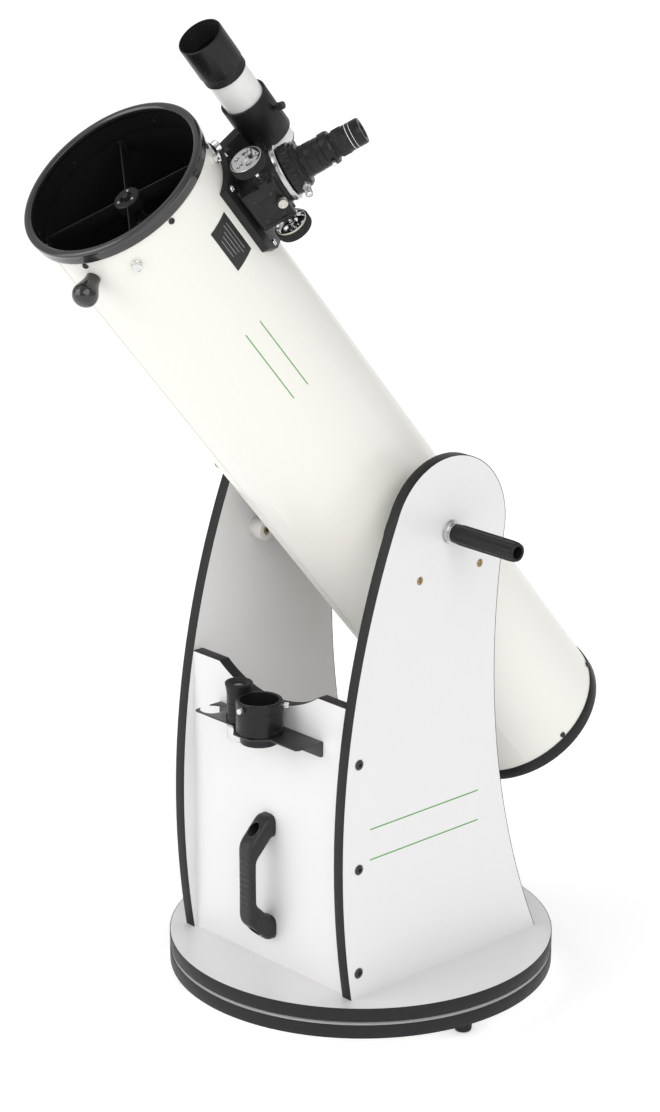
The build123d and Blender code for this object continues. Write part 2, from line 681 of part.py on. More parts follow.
with BuildPart() as focuser_body:
    block(focus_plane(118), 66, 72, 4)
    prism(focus_plane(122), [(-29, -34), (29, -34), (29, 44), (-29, 44)], 43)
    turned(focus_plane(0), [(0, 122), (34, 122), (34, flange_base), (0, flange_base)])
    disc(axle_plane(-30), 10, 64)
    turned(tube_plane(430), [(0, 0), (tube_radius + 8, 0), (tube_radius + 8, 160), (0, 160)], Mode.SUBTRACT)
    block(across_plane(-2, 144, 43), 44, 36, 3, Mode.SUBTRACT)
    disc(focus_plane(100), draw_radius + 0.3, 90, Mode.SUBTRACT)
    disc(axle_plane(-45), axle_radius + running, 90, Mode.SUBTRACT)
    disc(axle_plane(-4.9), pinion_radius + 0.4, 9.8, Mode.SUBTRACT)
    rack_slot = Plane(origin=focus_plane(115).origin + focus_plane(0).y_dir * 27, x_dir=along,
                      z_dir=out_from(focuser_angle))
    block(rack_slot, 8.6, 5.4, 70, Mode.SUBTRACT)
    disc(across_plane(*lock_screw_at, 20), 2.5 + running, 40, Mode.SUBTRACT)
focuser_body.part.label = "focuser_body"
export_step(focuser_body.part, "parts/focuser_body.step")

with BuildPart() as focuser_flange_ring:
    turned(focus_plane(0), [(draw_radius + 0.4, flange_base), (35, flange_base), (36, flange_base + 0.8),
                            (36, flange_top - 0.8), (35, flange_top), (draw_radius + 0.4, flange_top)])
    block(Plane(origin=focus_plane(flange_base - 1).origin + focus_plane(0).y_dir * 27, x_dir=along,
                z_dir=out_from(focuser_angle)), 8.6, 5.4, 10, Mode.SUBTRACT)
focuser_flange_ring.part.label = "focuser_flange_ring"
export_step(focuser_flange_ring.part, "parts/focuser_flange_ring.step")

with BuildPart() as focus_axle:
    disc(axle_plane(knob_shift - 62), axle_radius, 124)
    disc(axle_plane(-4.5), pinion_radius, 9)
    turned(axle_plane(knob_shift + 46.4), [(axle_radius - 1, 0), (8, 0), (8, 3), (20.4, 3),
                                           (20.4, 13.6), (19.8, 14), (axle_radius - 1, 14)])
    turned(axle_plane(knob_shift - 62.4), [(axle_radius - 1, 0), (19.8, 0), (20.4, 0.4), (20.4, 14),
                                           (19.4, 14), (18.4, 3.5), (7, 3.5), (5.5, 14),
                                           (axle_radius - 1, 14)])
    for index in range(5):
        angle = radians(index * 72 + 20)
        for start in (56.9, -62.4):
            spot = axle_plane(knob_shift + start)
            centre = spot.origin + (spot.x_dir * cos(angle) + spot.y_dir * sin(angle)) * 12.5
            disc(Plane(origin=centre, x_dir=spot.x_dir, z_dir=spot.z_dir), 3.2, 3.5, Mode.SUBTRACT)
focus_axle.part.label = "focus_axle"
export_step(focus_axle.part, "parts/focus_axle.step")

with BuildPart() as focus_knob_rims:
    for start in (48.8, -61.8):
        turned(axle_plane(knob_shift + start), [(20.4, 0), (22, 0), (22.6, 0.8), (22.6, 10.2), (22, 11),
                                                (20.4, 11)])
focus_knob_rims.part.label = "focus_knob_rims"
export_step(focus_knob_rims.part, "parts/focus_knob_rims.step")

with BuildPart() as focus_lock_screw:
    turned(across_plane(*lock_screw_at, 0), [(0, 30.2), (2.5, 30.2), (2.5, 45), (6, 45), (6.2, 45.6),
                                             (6.2, 52), (5.6, 53), (0, 53)])
focus_lock_screw.part.label = "focus_lock_screw"
export_step(focus_lock_screw.part, "parts/focus_lock_screw.step")

clamp_height = 191.0
clamp_screw_angles = (108, 228)     # around the focuser from the tube's sky direction
blind_boss_angle = 288
extension_screw_height = 233.0
extension_screw_angle = 100
eyepiece_low = 204.0


def focus_side(angle, height, distance):
    """Plane facing out of the focuser's side at an angle from the tube direction."""
    base = focus_plane(height)
    outward = base.x_dir * cos(radians(angle)) + base.y_dir * sin(radians(angle))
    return Plane(origin=base.origin + outward * distance, x_dir=base.z_dir, z_dir=outward)


with BuildPart() as drawtube:
    turned(focus_plane(0), [(25.5, 112), (draw_radius, 112), (draw_radius, 177.4), (30, 177.4),
                            (31.4, 178.4),
                            (31.4, 190.5), (30.6, 191.5), (28.6, 191.5), (28.6, 195.6), (27.6, 197),
                            (25.5, 197)])
    rack = Plane(origin=focus_plane(114).origin + focus_plane(0).y_dir * 27.475, x_dir=along,
                 z_dir=out_from(focuser_angle))
    block(rack, 8, 2.95, 62)
    for angle in clamp_screw_angles:
        disc(focus_side(angle, clamp_height, 20), 5.0, 14)
        disc(focus_side(angle, clamp_height, 20), 2.0 + running, 15, Mode.SUBTRACT)
    disc(focus_side(blind_boss_angle, clamp_height, 20), 5.0, 14)
    disc(focus_plane(112), 25.5, 90, Mode.SUBTRACT)
drawtube.part.label = "drawtube"
export_step(drawtube.part, "parts/drawtube.step")


def make_clamp_screw(angle):
    """Knurled thumbscrew in the drawtube's clamp ring."""
    turned(focus_side(angle, clamp_height, 0), [(0, 25.6), (2.0, 25.6), (2.0, 37), (4.2, 37), (4.6, 37.6),
                                                (4.6, 45), (4, 46), (0, 46)])


with BuildPart() as clamp_screw_1:
    make_clamp_screw(clamp_screw_angles[0])
clamp_screw_1.part.label = "clamp_screw_1"
export_step(clamp_screw_1.part, "parts/clamp_screw_1.step")

with BuildPart() as clamp_screw_2:
    make_clamp_screw(clamp_screw_angles[1])
clamp_screw_2.part.label = "clamp_screw_2"
export_step(clamp_screw_2.part, "parts/clamp_screw_2.step")

with BuildPart() as extension_tube:
    turned(focus_plane(0), [(16, 160), (25.4, 160), (25.4, 197.1), (26.4, 197.1), (26.4, 199),
                            (20.4, 199.5),
                            (19.2, 227), (21.2, 228), (21.2, 236.5), (20.2, 239.5), (16, 239.5)])
    disc(focus_side(extension_screw_angle, extension_screw_height, 10), 1.6 + running, 20, Mode.SUBTRACT)
extension_tube.part.label = "extension_tube"
export_step(extension_tube.part, "parts/extension_tube.step")

with BuildPart() as extension_screw:
    turned(focus_side(extension_screw_angle, extension_screw_height, 0),
           [(0, 15.95), (1.6, 15.95), (1.6, 23), (3.2, 23), (3.4, 23.4), (3.4, 28), (3, 28.6), (0, 28.6)])
extension_screw.part.label = "extension_screw"
export_step(extension_screw.part, "parts/extension_screw.step")

with BuildPart() as eyepiece:
    turned(focus_plane(0), [(0, eyepiece_low), (15.9, eyepiece_low), (15.9, 239.6), (16.2, 239.6),
                            (16.2, 244),
                            (17.4, 245), (17.4, 256), (16.6, 257), (16.6, 277), (15.8, 279), (11.5, 279),
                            (8, 274), (0, 274)])
eyepiece.part.label = "eyepiece"
export_step(eyepiece.part, "parts/eyepiece.step")

# ---------------------------------------------------------------- finder
finder_tube_radius = 25.8
shoe_half = 27.0
shoe_station = 530.0
adjuster_station = 557.0
adjuster_angles = (40, 140)


def finder_plane(station, distance=0.0):
    """Plane across the finder."""
    centre = pivot + along * station + out_from(finder_angle) * (finder_offset + distance)
    return Plane(origin=centre, x_dir=out_from(finder_angle - 90), z_dir=along)


def finder_side(angle, station, distance):
    """Plane facing out of the finder at an angle, 90 pointing away from the tube."""
    base = finder_plane(station)
    outward = base.x_dir * cos(radians(angle)) + base.y_dir * sin(radians(angle))
    return Plane(origin=base.origin + outward * distance, x_dir=along, z_dir=outward)


def shoe_plane(station):
    """Plane across the finder shoe, local x across the tube and local y away from it."""
    centre = pivot + along * station + out_from(finder_angle) * tube_radius
    return Plane(origin=centre, x_dir=out_from(finder_angle - 90), z_dir=along)


shoe_screw_station = 565.5
shoe_screw_angle = 75.0

with BuildPart() as finder_shoe:
    prism(shoe_plane(shoe_station - shoe_half),
          [(-17, -6), (17, -6), (18, 6), (18, 17), (12.5, 17), (9.3, 17), (11.6, 9.6), (-11.6, 9.6),
           (-9.3, 17),
           (-18, 17), (-18, 6)], 2 * shoe_half)
    block(radial_plane(shoe_screw_angle, shoe_screw_station - 4, 108), 28, 18, 11.5)
    disc(tube_plane(500), tube_radius, 120, Mode.SUBTRACT)
    prism(focus_plane(90), [(-76, 50), (53.3, 50), (53.3, -30), (46, -37.4), (-76, -37.4)], 60,
          Mode.SUBTRACT)
    disc(radial_plane(shoe_screw_angle, shoe_screw_station, 110), 2.5 + running, 20, Mode.SUBTRACT)
finder_shoe.part.label = "finder_shoe"
export_step(finder_shoe.part, "parts/finder_shoe.step")

with BuildPart() as shoe_screw:
    turned(radial_plane(shoe_screw_angle, shoe_screw_station, 0),
           [(0, 116.6), (2.5, 116.6), (2.5, 119.8), (7.1, 119.8), (7.7, 120.5), (7.7, 126.8), (7, 127.6),
            (0, 127.6)])
shoe_screw.part.label = "shoe_screw"
export_step(shoe_screw.part, "parts/shoe_screw.step")

with BuildPart() as finder_bracket:
    prism(shoe_plane(shoe_station - 26), [(-11, 10), (11, 10), (8.9, 16.7), (-8.9, 16.7)], 52)
    stem_plane = Plane(origin=pivot + along * shoe_station + out_from(finder_angle) * tube_radius
                       - out_from(finder_angle - 90) * 7, x_dir=along, z_dir=out_from(finder_angle - 90))
    prism(stem_plane, [(-28, -16.5), (26, -16.5), (26, -52), (-7, -52), (-7.8, -43.5)], 14)
    disc(finder_plane(522), 30, 62)
    disc(finder_plane(522), 27.2, 62, Mode.SUBTRACT)
    for angle in adjuster_angles:
        disc(finder_side(angle, adjuster_station, 20), 2.0 + running, 20, Mode.SUBTRACT)
finder_bracket.part.label = "finder_bracket"
export_step(finder_bracket.part, "parts/finder_bracket.step")


def make_adjusting_screw(angle):
    """Knurled adjusting screw of the finder bracket."""
    turned(finder_side(angle, adjuster_station, 0), [(0, 26.3), (2.0, 26.3), (2.0, 33), (4.4, 33),
                                                     (4.8, 33.6), (4.8, 41),
                                                     (4.2, 42), (0, 42)])


with BuildPart() as adjusting_screw_1:
    make_adjusting_screw(adjuster_angles[0])
adjusting_screw_1.part.label = "adjusting_screw_1"
export_step(adjusting_screw_1.part, "parts/adjusting_screw_1.step")

with BuildPart() as adjusting_screw_2:
    make_adjusting_screw(adjuster_angles[1])
adjusting_screw_2.part.label = "adjusting_screw_2"
export_step(adjusting_screw_2.part, "parts/adjusting_screw_2.step")

with BuildPart() as finder_tube:
    turned(finder_plane(0), [(24.6, 505), (finder_tube_radius, 505), (finder_tube_radius, 645),
                             (24.6, 645)])
    turned(finder_plane(0), [(24.6, 505), (24.6, 520), (12, 520), (12, 470), (15, 470), (16, 472),
                             (16, 486),
                             (20, 488), (20, 500), (25, 502), (finder_tube_radius, 505)])
finder_tube.part.label = "finder_tube"
export_step(finder_tube.part, "parts/finder_tube.step")

with BuildPart() as dew_shield:
    turned(finder_plane(0), [(finder_tube_radius + running, 626.5), (27.8, 626.5), (27.8, 630), (28.8, 631),
                             (28.8, finder_front - 1.5), (28.2, finder_front), (26.6, finder_front),
                             (26.2, 655),
                             (finder_tube_radius + running, 652)])
    turned(finder_plane(0), [(0, 653), (26.5, 653), (26.5, 657), (22, 657), (0, 658.5)])
dew_shield.part.label = "dew_shield"
export_step(dew_shield.part, "parts/dew_shield.step")

# ---------------------------------------------------------------- spares in the rack
spare_plane = level_plane(spare_eyepiece_at[0], spare_eyepiece_at[1], rack_z)

with BuildPart() as spare_eyepiece:
    turned(spare_plane, [(0, -26), (15.9, -26), (15.9, 0.1), (17, 0.1), (17, 10), (16, 11), (16, 38),
                         (17, 45),
                         (18.2, 50), (18.2, 52), (17.4, 52.5), (12, 52.5), (8, 49), (0, 49)])
spare_eyepiece.part.label = "spare_eyepiece"
export_step(spare_eyepiece.part, "parts/spare_eyepiece.step")

adapter_screw_angles = (-85, 40)
adapter_plane = level_plane(spare_adapter_at[0], spare_adapter_at[1], rack_z)

with BuildPart() as spare_adapter:
    turned(adapter_plane, [(23.4, -14), (25.4, -14), (25.4, 0.1), (30, 0.1), (30.3, 1), (30.3, 43),
                           (29.5, 44),
                           (26, 44), (25.45, 43.4), (25.45, 6), (23.4, 4)])
    for angle in adapter_screw_angles:
        direction = Vector(cos(radians(angle)), sin(radians(angle)), 0)
        seat = Plane(origin=adapter_plane.origin + Vector(0, 0, 37) + direction * 20, x_dir=(0, 0, 1),
                     z_dir=direction)
        disc(seat, 2.0 + running, 20, Mode.SUBTRACT)
spare_adapter.part.label = "spare_adapter"
export_step(spare_adapter.part, "parts/spare_adapter.step")


def make_adapter_screw(angle):
    """Thumbscrew of the spare adapter."""
    direction = Vector(cos(radians(angle)), sin(radians(angle)), 0)
    seat = Plane(origin=adapter_plane.origin + Vector(0, 0, 37), x_dir=(0, 0, 1), z_dir=direction)
    turned(seat, [(0, 25.6), (2.0, 25.6), (2.0, 32), (3.6, 32), (3.9, 32.6), (3.9, 38), (3.4, 38.6),
                  (0, 38.6)])


with BuildPart() as adapter_screw_1:
    make_adapter_screw(adapter_screw_angles[0])
adapter_screw_1.part.label = "adapter_screw_1"
export_step(adapter_screw_1.part, "parts/adapter_screw_1.step")

with BuildPart() as adapter_screw_2:
    make_adapter_screw(adapter_screw_angles[1])
adapter_screw_2.part.label = "adapter_screw_2"
export_step(adapter_screw_2.part, "parts/adapter_screw_2.step")
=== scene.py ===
import json
from math import asin, atan2, cos, degrees, pi, radians, sin, sqrt, tan

import bmesh
import bpy
from mathutils import Matrix, Vector


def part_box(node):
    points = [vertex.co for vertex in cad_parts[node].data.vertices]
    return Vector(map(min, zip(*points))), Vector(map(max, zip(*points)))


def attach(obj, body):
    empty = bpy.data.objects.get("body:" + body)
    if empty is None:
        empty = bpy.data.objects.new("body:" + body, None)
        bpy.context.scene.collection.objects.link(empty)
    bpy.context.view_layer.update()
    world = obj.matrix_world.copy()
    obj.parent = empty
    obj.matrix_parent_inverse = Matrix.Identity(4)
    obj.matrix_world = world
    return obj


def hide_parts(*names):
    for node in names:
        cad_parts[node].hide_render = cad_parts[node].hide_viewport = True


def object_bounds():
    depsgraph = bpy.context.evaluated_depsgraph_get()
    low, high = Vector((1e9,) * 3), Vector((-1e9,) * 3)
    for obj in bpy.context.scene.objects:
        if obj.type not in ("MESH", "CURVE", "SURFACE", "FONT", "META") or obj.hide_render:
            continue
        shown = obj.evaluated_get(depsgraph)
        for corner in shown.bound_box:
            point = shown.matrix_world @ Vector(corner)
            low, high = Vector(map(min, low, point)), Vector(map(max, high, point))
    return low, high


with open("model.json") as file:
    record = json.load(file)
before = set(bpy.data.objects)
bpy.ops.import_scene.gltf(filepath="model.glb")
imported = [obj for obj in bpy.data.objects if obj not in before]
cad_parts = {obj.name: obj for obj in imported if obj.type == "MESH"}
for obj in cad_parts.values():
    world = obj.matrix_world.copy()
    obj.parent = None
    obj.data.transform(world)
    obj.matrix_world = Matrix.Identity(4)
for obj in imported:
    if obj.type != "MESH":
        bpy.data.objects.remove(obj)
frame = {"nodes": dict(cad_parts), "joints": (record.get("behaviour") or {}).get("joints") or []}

# Shapes are in millimetres, in local frames placed from the frame's joints and the azimuth board.
MM = 0.001
cad_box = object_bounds()
nodes = frame["nodes"]
joint = {j["name"]: j for j in frame["joints"]}


def joint_at(name):
    return Vector(joint[name]["pos_m"])


def joint_axis(name):
    return Vector(joint[name]["axis"]).normalized()


pivot = joint_at("altitude_tilt")
right = Vector((1, 0, 0))
along = joint_axis("finder_bracket_slide")
over = along.cross(right)
focus_axis = joint_axis("focus_travel")
focus_angle = degrees(atan2(focus_axis.dot(over), focus_axis.dot(right)))
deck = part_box("azimuth_board")[1].z / MM
tube_radius = 116.0
focus_station = 520.0


def place(origin, facing, first):
    """Matrix from local millimetres to the row frame: local z is facing, local x is first."""
    z = facing.normalized()
    x = (first - z * first.dot(z)).normalized()
    matrix = Matrix((x, z.cross(x), z)).transposed().to_4x4()
    matrix.translation = origin
    return matrix @ Matrix.Scale(MM, 4)


def out_from(angle):
    return right * cos(radians(angle)) + over * sin(radians(angle))


def tube_place(station):
    return place(pivot + along * station * MM, along, right)


def radial_place(angle, station, height=0.0):
    outward = out_from(angle)
    return place(pivot + (along * station + outward * height) * MM, outward, along)


def side_place(side, x, y=0.0, z=0.0):
    """On the altitude axis, facing out of one side."""
    return place(pivot + Vector((side * x, y, z)) * MM, Vector((side, 0, 0)), Vector((0, 1, 0)))


def level_place(x, y, z):
    return place(Vector((x, y, z)) * MM, Vector((0, 0, 1)), right)


# -------------------- materials
class Finish:
    """A Principled material whose colour, roughness and relief come from nodes."""

    def __init__(self, name, metal=0.0, coat=0.0, coat_rough=0.1, specular=0.5):
        self.material = bpy.data.materials.new(name)
        self.material.use_nodes = True
        self.tree = self.material.node_tree
        self.shader = self.tree.nodes["Principled BSDF"]
        self.shader.inputs["Metallic"].default_value = metal
        self.shader.inputs["Coat Weight"].default_value = coat
        self.shader.inputs["Coat Roughness"].default_value = coat_rough
        self.shader.inputs["Specular IOR Level"].default_value = specular
        self.place = self.node("ShaderNodeTexCoord").outputs["Object"]
        self.relief = None

    def node(self, kind, **settings):
        made = self.tree.nodes.new(kind)
        for key, value in settings.items():
            setattr(made, key, value)
        return made

    def link(self, source, target):
        if hasattr(source, "is_output"):
            self.tree.links.new(source, target)
        else:
            target.default_value = source

    def noise(self, scale, detail=2.0, rough=0.5):
        made = self.node("ShaderNodeTexNoise")
        self.link(self.place, made.inputs["Vector"])
        made.inputs["Scale"].default_value = scale
        made.inputs["Detail"].default_value = detail
        made.inputs["Roughness"].default_value = rough
        return made.outputs["Fac"]

    def cells(self, scale):
        made = self.node("ShaderNodeTexVoronoi", feature="F1")
        self.link(self.place, made.inputs["Vector"])
        made.inputs["Scale"].default_value = scale
        return made.outputs["Distance"]

    def span(self, value, low, high, to_low=0.0, to_high=1.0):
        made = self.node("ShaderNodeMapRange", clamp=True)
        self.link(value, made.inputs["Value"])
        for key, number in (("From Min", low), ("From Max", high), ("To Min", to_low), ("To Max", to_high)):
            made.inputs[key].default_value = number
        return made.outputs["Result"]

    def math(self, operation, a, b):
        made = self.node("ShaderNodeMath", operation=operation)
        self.link(a, made.inputs[0])
        self.link(b, made.inputs[1])
        return made.outputs[0]

    def mix(self, share, a, b):
        made = self.node("ShaderNodeMix", data_type="RGBA")
        self.link(share, made.inputs["Factor"])
        for value, socket in ((a, made.inputs[6]), (b, made.inputs[7])):
            self.link((*value, 1.0) if isinstance(value, tuple) else value, socket)
        return made.outputs[2]

    def edges(self, reach, low=0.02, high=0.25):
        """1 along convex and concave edges within reach metres, 0 elsewhere."""
        bevel = self.node("ShaderNodeBevel", samples=4)
        bevel.inputs["Radius"].default_value = reach
        geometry = self.node("ShaderNodeNewGeometry")
        dot = self.node("ShaderNodeVectorMath", operation="DOT_PRODUCT")
        self.link(bevel.outputs["Normal"], dot.inputs[0])
        self.link(geometry.outputs["Normal"], dot.inputs[1])
        return self.span(self.math("SUBTRACT", 1.0, dot.outputs["Value"]), low, high)

    def bump(self, height, distance):
        made = self.node("ShaderNodeBump")
        made.inputs["Strength"].default_value = 1.0
        made.inputs["Distance"].default_value = distance
        self.link(height, made.inputs["Height"])
        if self.relief is not None:
            self.link(self.relief, made.inputs["Normal"])
        self.relief = made.outputs["Normal"]

    def done(self, colour, rough):
        self.link((*colour, 1.0) if isinstance(colour, tuple) else colour, self.shader.inputs["Base Color"])
        self.link(rough, self.shader.inputs["Roughness"])
        if self.relief is not None:
            self.link(self.relief, self.shader.inputs["Normal"])
        return self.material


def tint(colour, factor):
    return tuple(min(1.0, c * factor) for c in colour)


def coated(name, colour, shade, rough, spread, grain, depth, broad=9.0, wear=None, **kinds):
    """Paint or plastic: broad mottling, fine grain, uneven gloss and, where asked, rubbed edges."""
    finish = Finish(name, **kinds)
    blotch = finish.span(finish.noise(broad, 4.0, 0.6), 0.32, 0.68)
    fine = finish.noise(grain, 3.0, 0.6)
    body = finish.mix(blotch, colour, tint(colour, shade))
    body = finish.mix(finish.span(fine, 0.35, 0.75, 0.0, 0.5), body, tint(colour, shade * shade))
    gloss = finish.span(finish.noise(broad * 5, 5.0, 0.65), 0.3, 0.7, rough - spread, rough + spread)
    if wear:
        bare, reach, amount = wear
        patches = finish.span(finish.noise(260, 4.0, 0.7), 0.42, 0.62)
        rubbed = finish.math("MULTIPLY", finish.math("MULTIPLY", finish.edges(reach), patches), amount)
        body = finish.mix(rubbed, body, bare)
    finish.bump(fine, depth)
    return finish.done(body, gloss)


def metal(name, colour, rough, spread, depth=4e-6):
    """Plated or turned metal: faint tarnish, fine grain, uneven gloss."""
    finish = Finish(name, metal=1.0)
    lines = finish.noise(900.0, 4.0, 0.7)
    tarnish = finish.span(finish.noise(60, 4.0, 0.6), 0.35, 0.7)
    body = finish.mix(tarnish, colour, tint(colour, 0.86))
    gloss = finish.span(lines, 0.3, 0.7, rough - spread, rough + spread)
    finish.bump(lines, depth)
    return finish.done(body, gloss)


def speckled(name, colour, fleck, scale, rough):
    """Sand-blasted casting with dark pits."""
    finish = Finish(name, metal=0.15)
    pits = finish.span(finish.cells(scale), 0.10, 0.32, 1.0, 0.0)
    pits = finish.math("MULTIPLY", pits, finish.span(finish.noise(scale * 0.35, 3.0), 0.42, 0.6))
    body = finish.mix(finish.noise(scale * 0.4, 4.0), tint(colour, 1.05), tint(colour, 0.82))
    body = finish.mix(pits, body, fleck)
    finish.bump(finish.math("SUBTRACT", finish.noise(scale * 1.3, 3.0), pits), 3e-5)
    return finish.done(body, finish.span(pits, 0.0, 1.0, rough, rough + 0.25))


def glass(name, colour, rough=0.02):
    """Clear lens with a faintly uneven polish."""
    finish = Finish(name, specular=0.6)
    finish.shader.inputs["Transmission Weight"].default_value = 1.0
    finish.shader.inputs["IOR"].default_value = 1.5
    gloss = finish.span(finish.noise(160, 3.0), 0.3, 0.7, rough, rough + 0.03)
    return finish.done(finish.mix(finish.noise(30), colour, tint(colour, 0.94)), gloss)


worn = (0.30, 0.29, 0.27)
looks = {
    "melamine_white": coated("melamine_white", (0.79, 0.785, 0.785), 0.985, 0.38, 0.05, 1100, 1.2e-5, 5.0,
                             coat=0.12, coat_rough=0.25),
    "edge_band_grey": coated("edge_band_grey", (0.017, 0.017, 0.0175), 0.85, 0.48, 0.06, 1500, 2e-5, 20.0,
                             ((0.09, 0.09, 0.09), 0.0008, 0.4), specular=0.25),
    "tube_ivory": coated("tube_ivory", (0.84, 0.83, 0.775), 0.995, 0.30, 0.012, 420, 3e-6, 3.0,
                         coat=0.3, coat_rough=0.10),
    "inside_black": coated("inside_black", (0.006, 0.006, 0.007), 0.8, 0.62, 0.08, 900, 3e-5, 14.0,
                           specular=0.25),
    "ring_black": coated("ring_black", (0.017, 0.016, 0.0155), 0.85, 0.22, 0.04, 1300, 1.2e-5, 24.0, coat=0.6,
                         coat_rough=0.06),
    "cast_black": coated("cast_black", (0.013, 0.013, 0.0135), 0.8, 0.38, 0.07, 1500, 3e-5, 40.0,
                         (worn, 0.0006, 0.35), specular=0.28),
    "anodised_black": coated("anodised_black", (0.010, 0.010, 0.011), 0.85, 0.30, 0.05, 2200, 8e-6, 60.0,
                             (worn, 0.0004, 0.2), specular=0.32),
    "knob_gloss_black": coated("knob_gloss_black", (0.010, 0.010, 0.011), 0.9, 0.09, 0.03, 900, 2e-6, 40.0,
                               coat=0.6, coat_rough=0.04),
    "handle_black": coated("handle_black", (0.016, 0.016, 0.017), 0.85, 0.40, 0.06, 1400, 4e-5, 30.0,
                           ((0.08, 0.08, 0.08), 0.001, 0.3), specular=0.4),
    "rubber_black": coated("rubber_black", (0.012, 0.012, 0.0125), 0.85, 0.52, 0.07, 1600, 5e-5, 40.0,
                           ((0.05, 0.05, 0.05), 0.0008, 0.4), specular=0.3),
    "chrome_bright": metal("chrome_bright", (0.80, 0.80, 0.80), 0.10, 0.05),
    "alloy_bare": metal("alloy_bare", (0.66, 0.64, 0.58), 0.36, 0.08, depth=1.5e-5),
    "alloy_speckled": speckled("alloy_speckled", (0.62, 0.61, 0.54), (0.34, 0.33, 0.29), 1400, 0.45),
    "steel_zinc": metal("steel_zinc", (0.62, 0.62, 0.63), 0.25, 0.08),
    "fastener_black": coated("fastener_black", (0.022, 0.022, 0.023), 0.85, 0.33, 0.06, 1800, 2e-5, 80.0,
                             (worn, 0.0005, 0.5)),
    "brass_plated": metal("brass_plated", (0.40, 0.30, 0.17), 0.34, 0.08),
    "nylon_white": coated("nylon_white", (0.74, 0.74, 0.70), 0.96, 0.45, 0.06, 700, 3e-5, 30.0),
    "mirror_silver": metal("mirror_silver", (0.90, 0.91, 0.92), 0.02, 0.012, depth=0.0),
    "finder_white": coated("finder_white", (0.83, 0.83, 0.82), 0.99, 0.22, 0.04, 500, 6e-6, 9.0, coat=0.4),
    "label_black": coated("label_black", (0.008, 0.008, 0.009), 0.85, 0.35, 0.05, 1200, 1e-5, 60.0),
    "print_grey": coated("print_grey", (0.45, 0.45, 0.45), 0.9, 0.5, 0.05, 1500, 1e-5, 80.0),
    "print_white": coated("print_white", (0.84, 0.84, 0.83), 0.9, 0.5, 0.05, 1500, 1e-5, 80.0),
    "print_green": coated("print_green", (0.10, 0.36, 0.06), 0.92, 0.45, 0.05, 1500, 1e-5, 60.0),
    "lens_glass": glass("lens_glass", (0.86, 0.92, 0.90)),
}
for node in nodes.values():
    for slot in node.material_slots:
        slot.material = looks[slot.material.name.split(".")[0]]

# -------------------- floor, light, camera
def stage_floor():
    bm = bmesh.new()
    bmesh.ops.create_circle(bm, cap_ends=True, segments=96, radius=30.0)
    mesh = bpy.data.meshes.new("studio_floor")
    bm.to_mesh(mesh)
    bm.free()
    floor = bpy.data.objects.new("studio_floor", mesh)
    bpy.context.scene.collection.objects.link(floor)
    finish = Finish("studio_paper")
    shade = finish.mix(finish.noise(1.5, 3.0), (0.93, 0.93, 0.93), (0.95, 0.95, 0.95))
    finish.shader.inputs["Emission Color"].default_value = (1.0, 1.0, 1.0, 1.0)
    finish.shader.inputs["Emission Strength"].default_value = 0.32
    mesh.materials.append(finish.done(shade, finish.span(finish.noise(40), 0.3, 0.7, 0.8, 0.9)))


def soft_light(name, where, aim, width, height, watts):
    data = bpy.data.lights.new(name, "AREA")
    data.shape = "RECTANGLE"
    data.size, data.size_y, data.energy = width, height, watts
    lamp = bpy.data.objects.new(name, data)
    lamp.location = where
    lamp.rotation_mode = "QUATERNION"
    lamp.rotation_quaternion = (Vector(aim) - Vector(where)).to_track_quat("-Z", "Y")
    lamp.visible_camera = False
    bpy.context.scene.collection.objects.link(lamp)


def soft_sun(name, direction, strength, spread):
    data = bpy.data.lights.new(name, "SUN")
    data.energy, data.angle = strength, radians(spread)
    lamp = bpy.data.objects.new(name, data)
    lamp.rotation_mode = "QUATERNION"
    lamp.rotation_quaternion = Vector(direction).to_track_quat("Z", "Y")
    bpy.context.scene.collection.objects.link(lamp)


def studio_world(strength):
    world = bpy.data.worlds.new("studio")
    bpy.context.scene.world = world
    world.use_nodes = True
    backdrop = world.node_tree.nodes["Background"]
    backdrop.inputs["Color"].default_value = (1.0, 1.0, 1.0, 1.0)
    backdrop.inputs["Strength"].default_value = strength


stage_floor()
studio_world(0.56)
middle = (cad_box[0] + cad_box[1]) / 2
soft_sun("sun_left", (-0.35, -0.85, 0.25), 1.0, 50)
soft_sun("sun_right", (0.75, -0.40, 0.53), 0.95, 50)
soft_light("key", (-1.4, -3.2, 3.6), middle, 1.6, 2.4, 10)
soft_light("fill", (3.6, -0.6, 2.6), middle, 1.2, 2.6, 6)
soft_light("rear", (-2.2, 3.2, 2.6), middle, 1.8, 2.2, 10)

camera = bpy.data.objects.new("camera", bpy.data.cameras.new("camera"))
bpy.context.scene.collection.objects.link(camera)
bpy.context.scene.camera = camera
camera.data.sensor_width, camera.data.lens = 36.0, 102.2
camera.data.clip_start, camera.data.clip_end = 0.05, 100.0
look_at = Vector((-0.0668, 0.0565, 0.5809))
turn, lift, distance = radians(47.12), radians(18.09), 4.1953
back = Vector((sin(turn) * cos(lift), -cos(turn) * cos(lift), sin(lift)))
camera.location = look_at + back * distance
camera.rotation_mode = "QUATERNION"
camera.rotation_quaternion = (-back).to_track_quat("-Z", "Y")
bpy.context.scene.view_settings.view_transform = "Standard"

# -------------------- mesh helpers
sharpest_turn, gentlest_turn = 2.6, 0.2     # radians
side_share, least_cut, corner_steps = 0.45, 0.02, 3


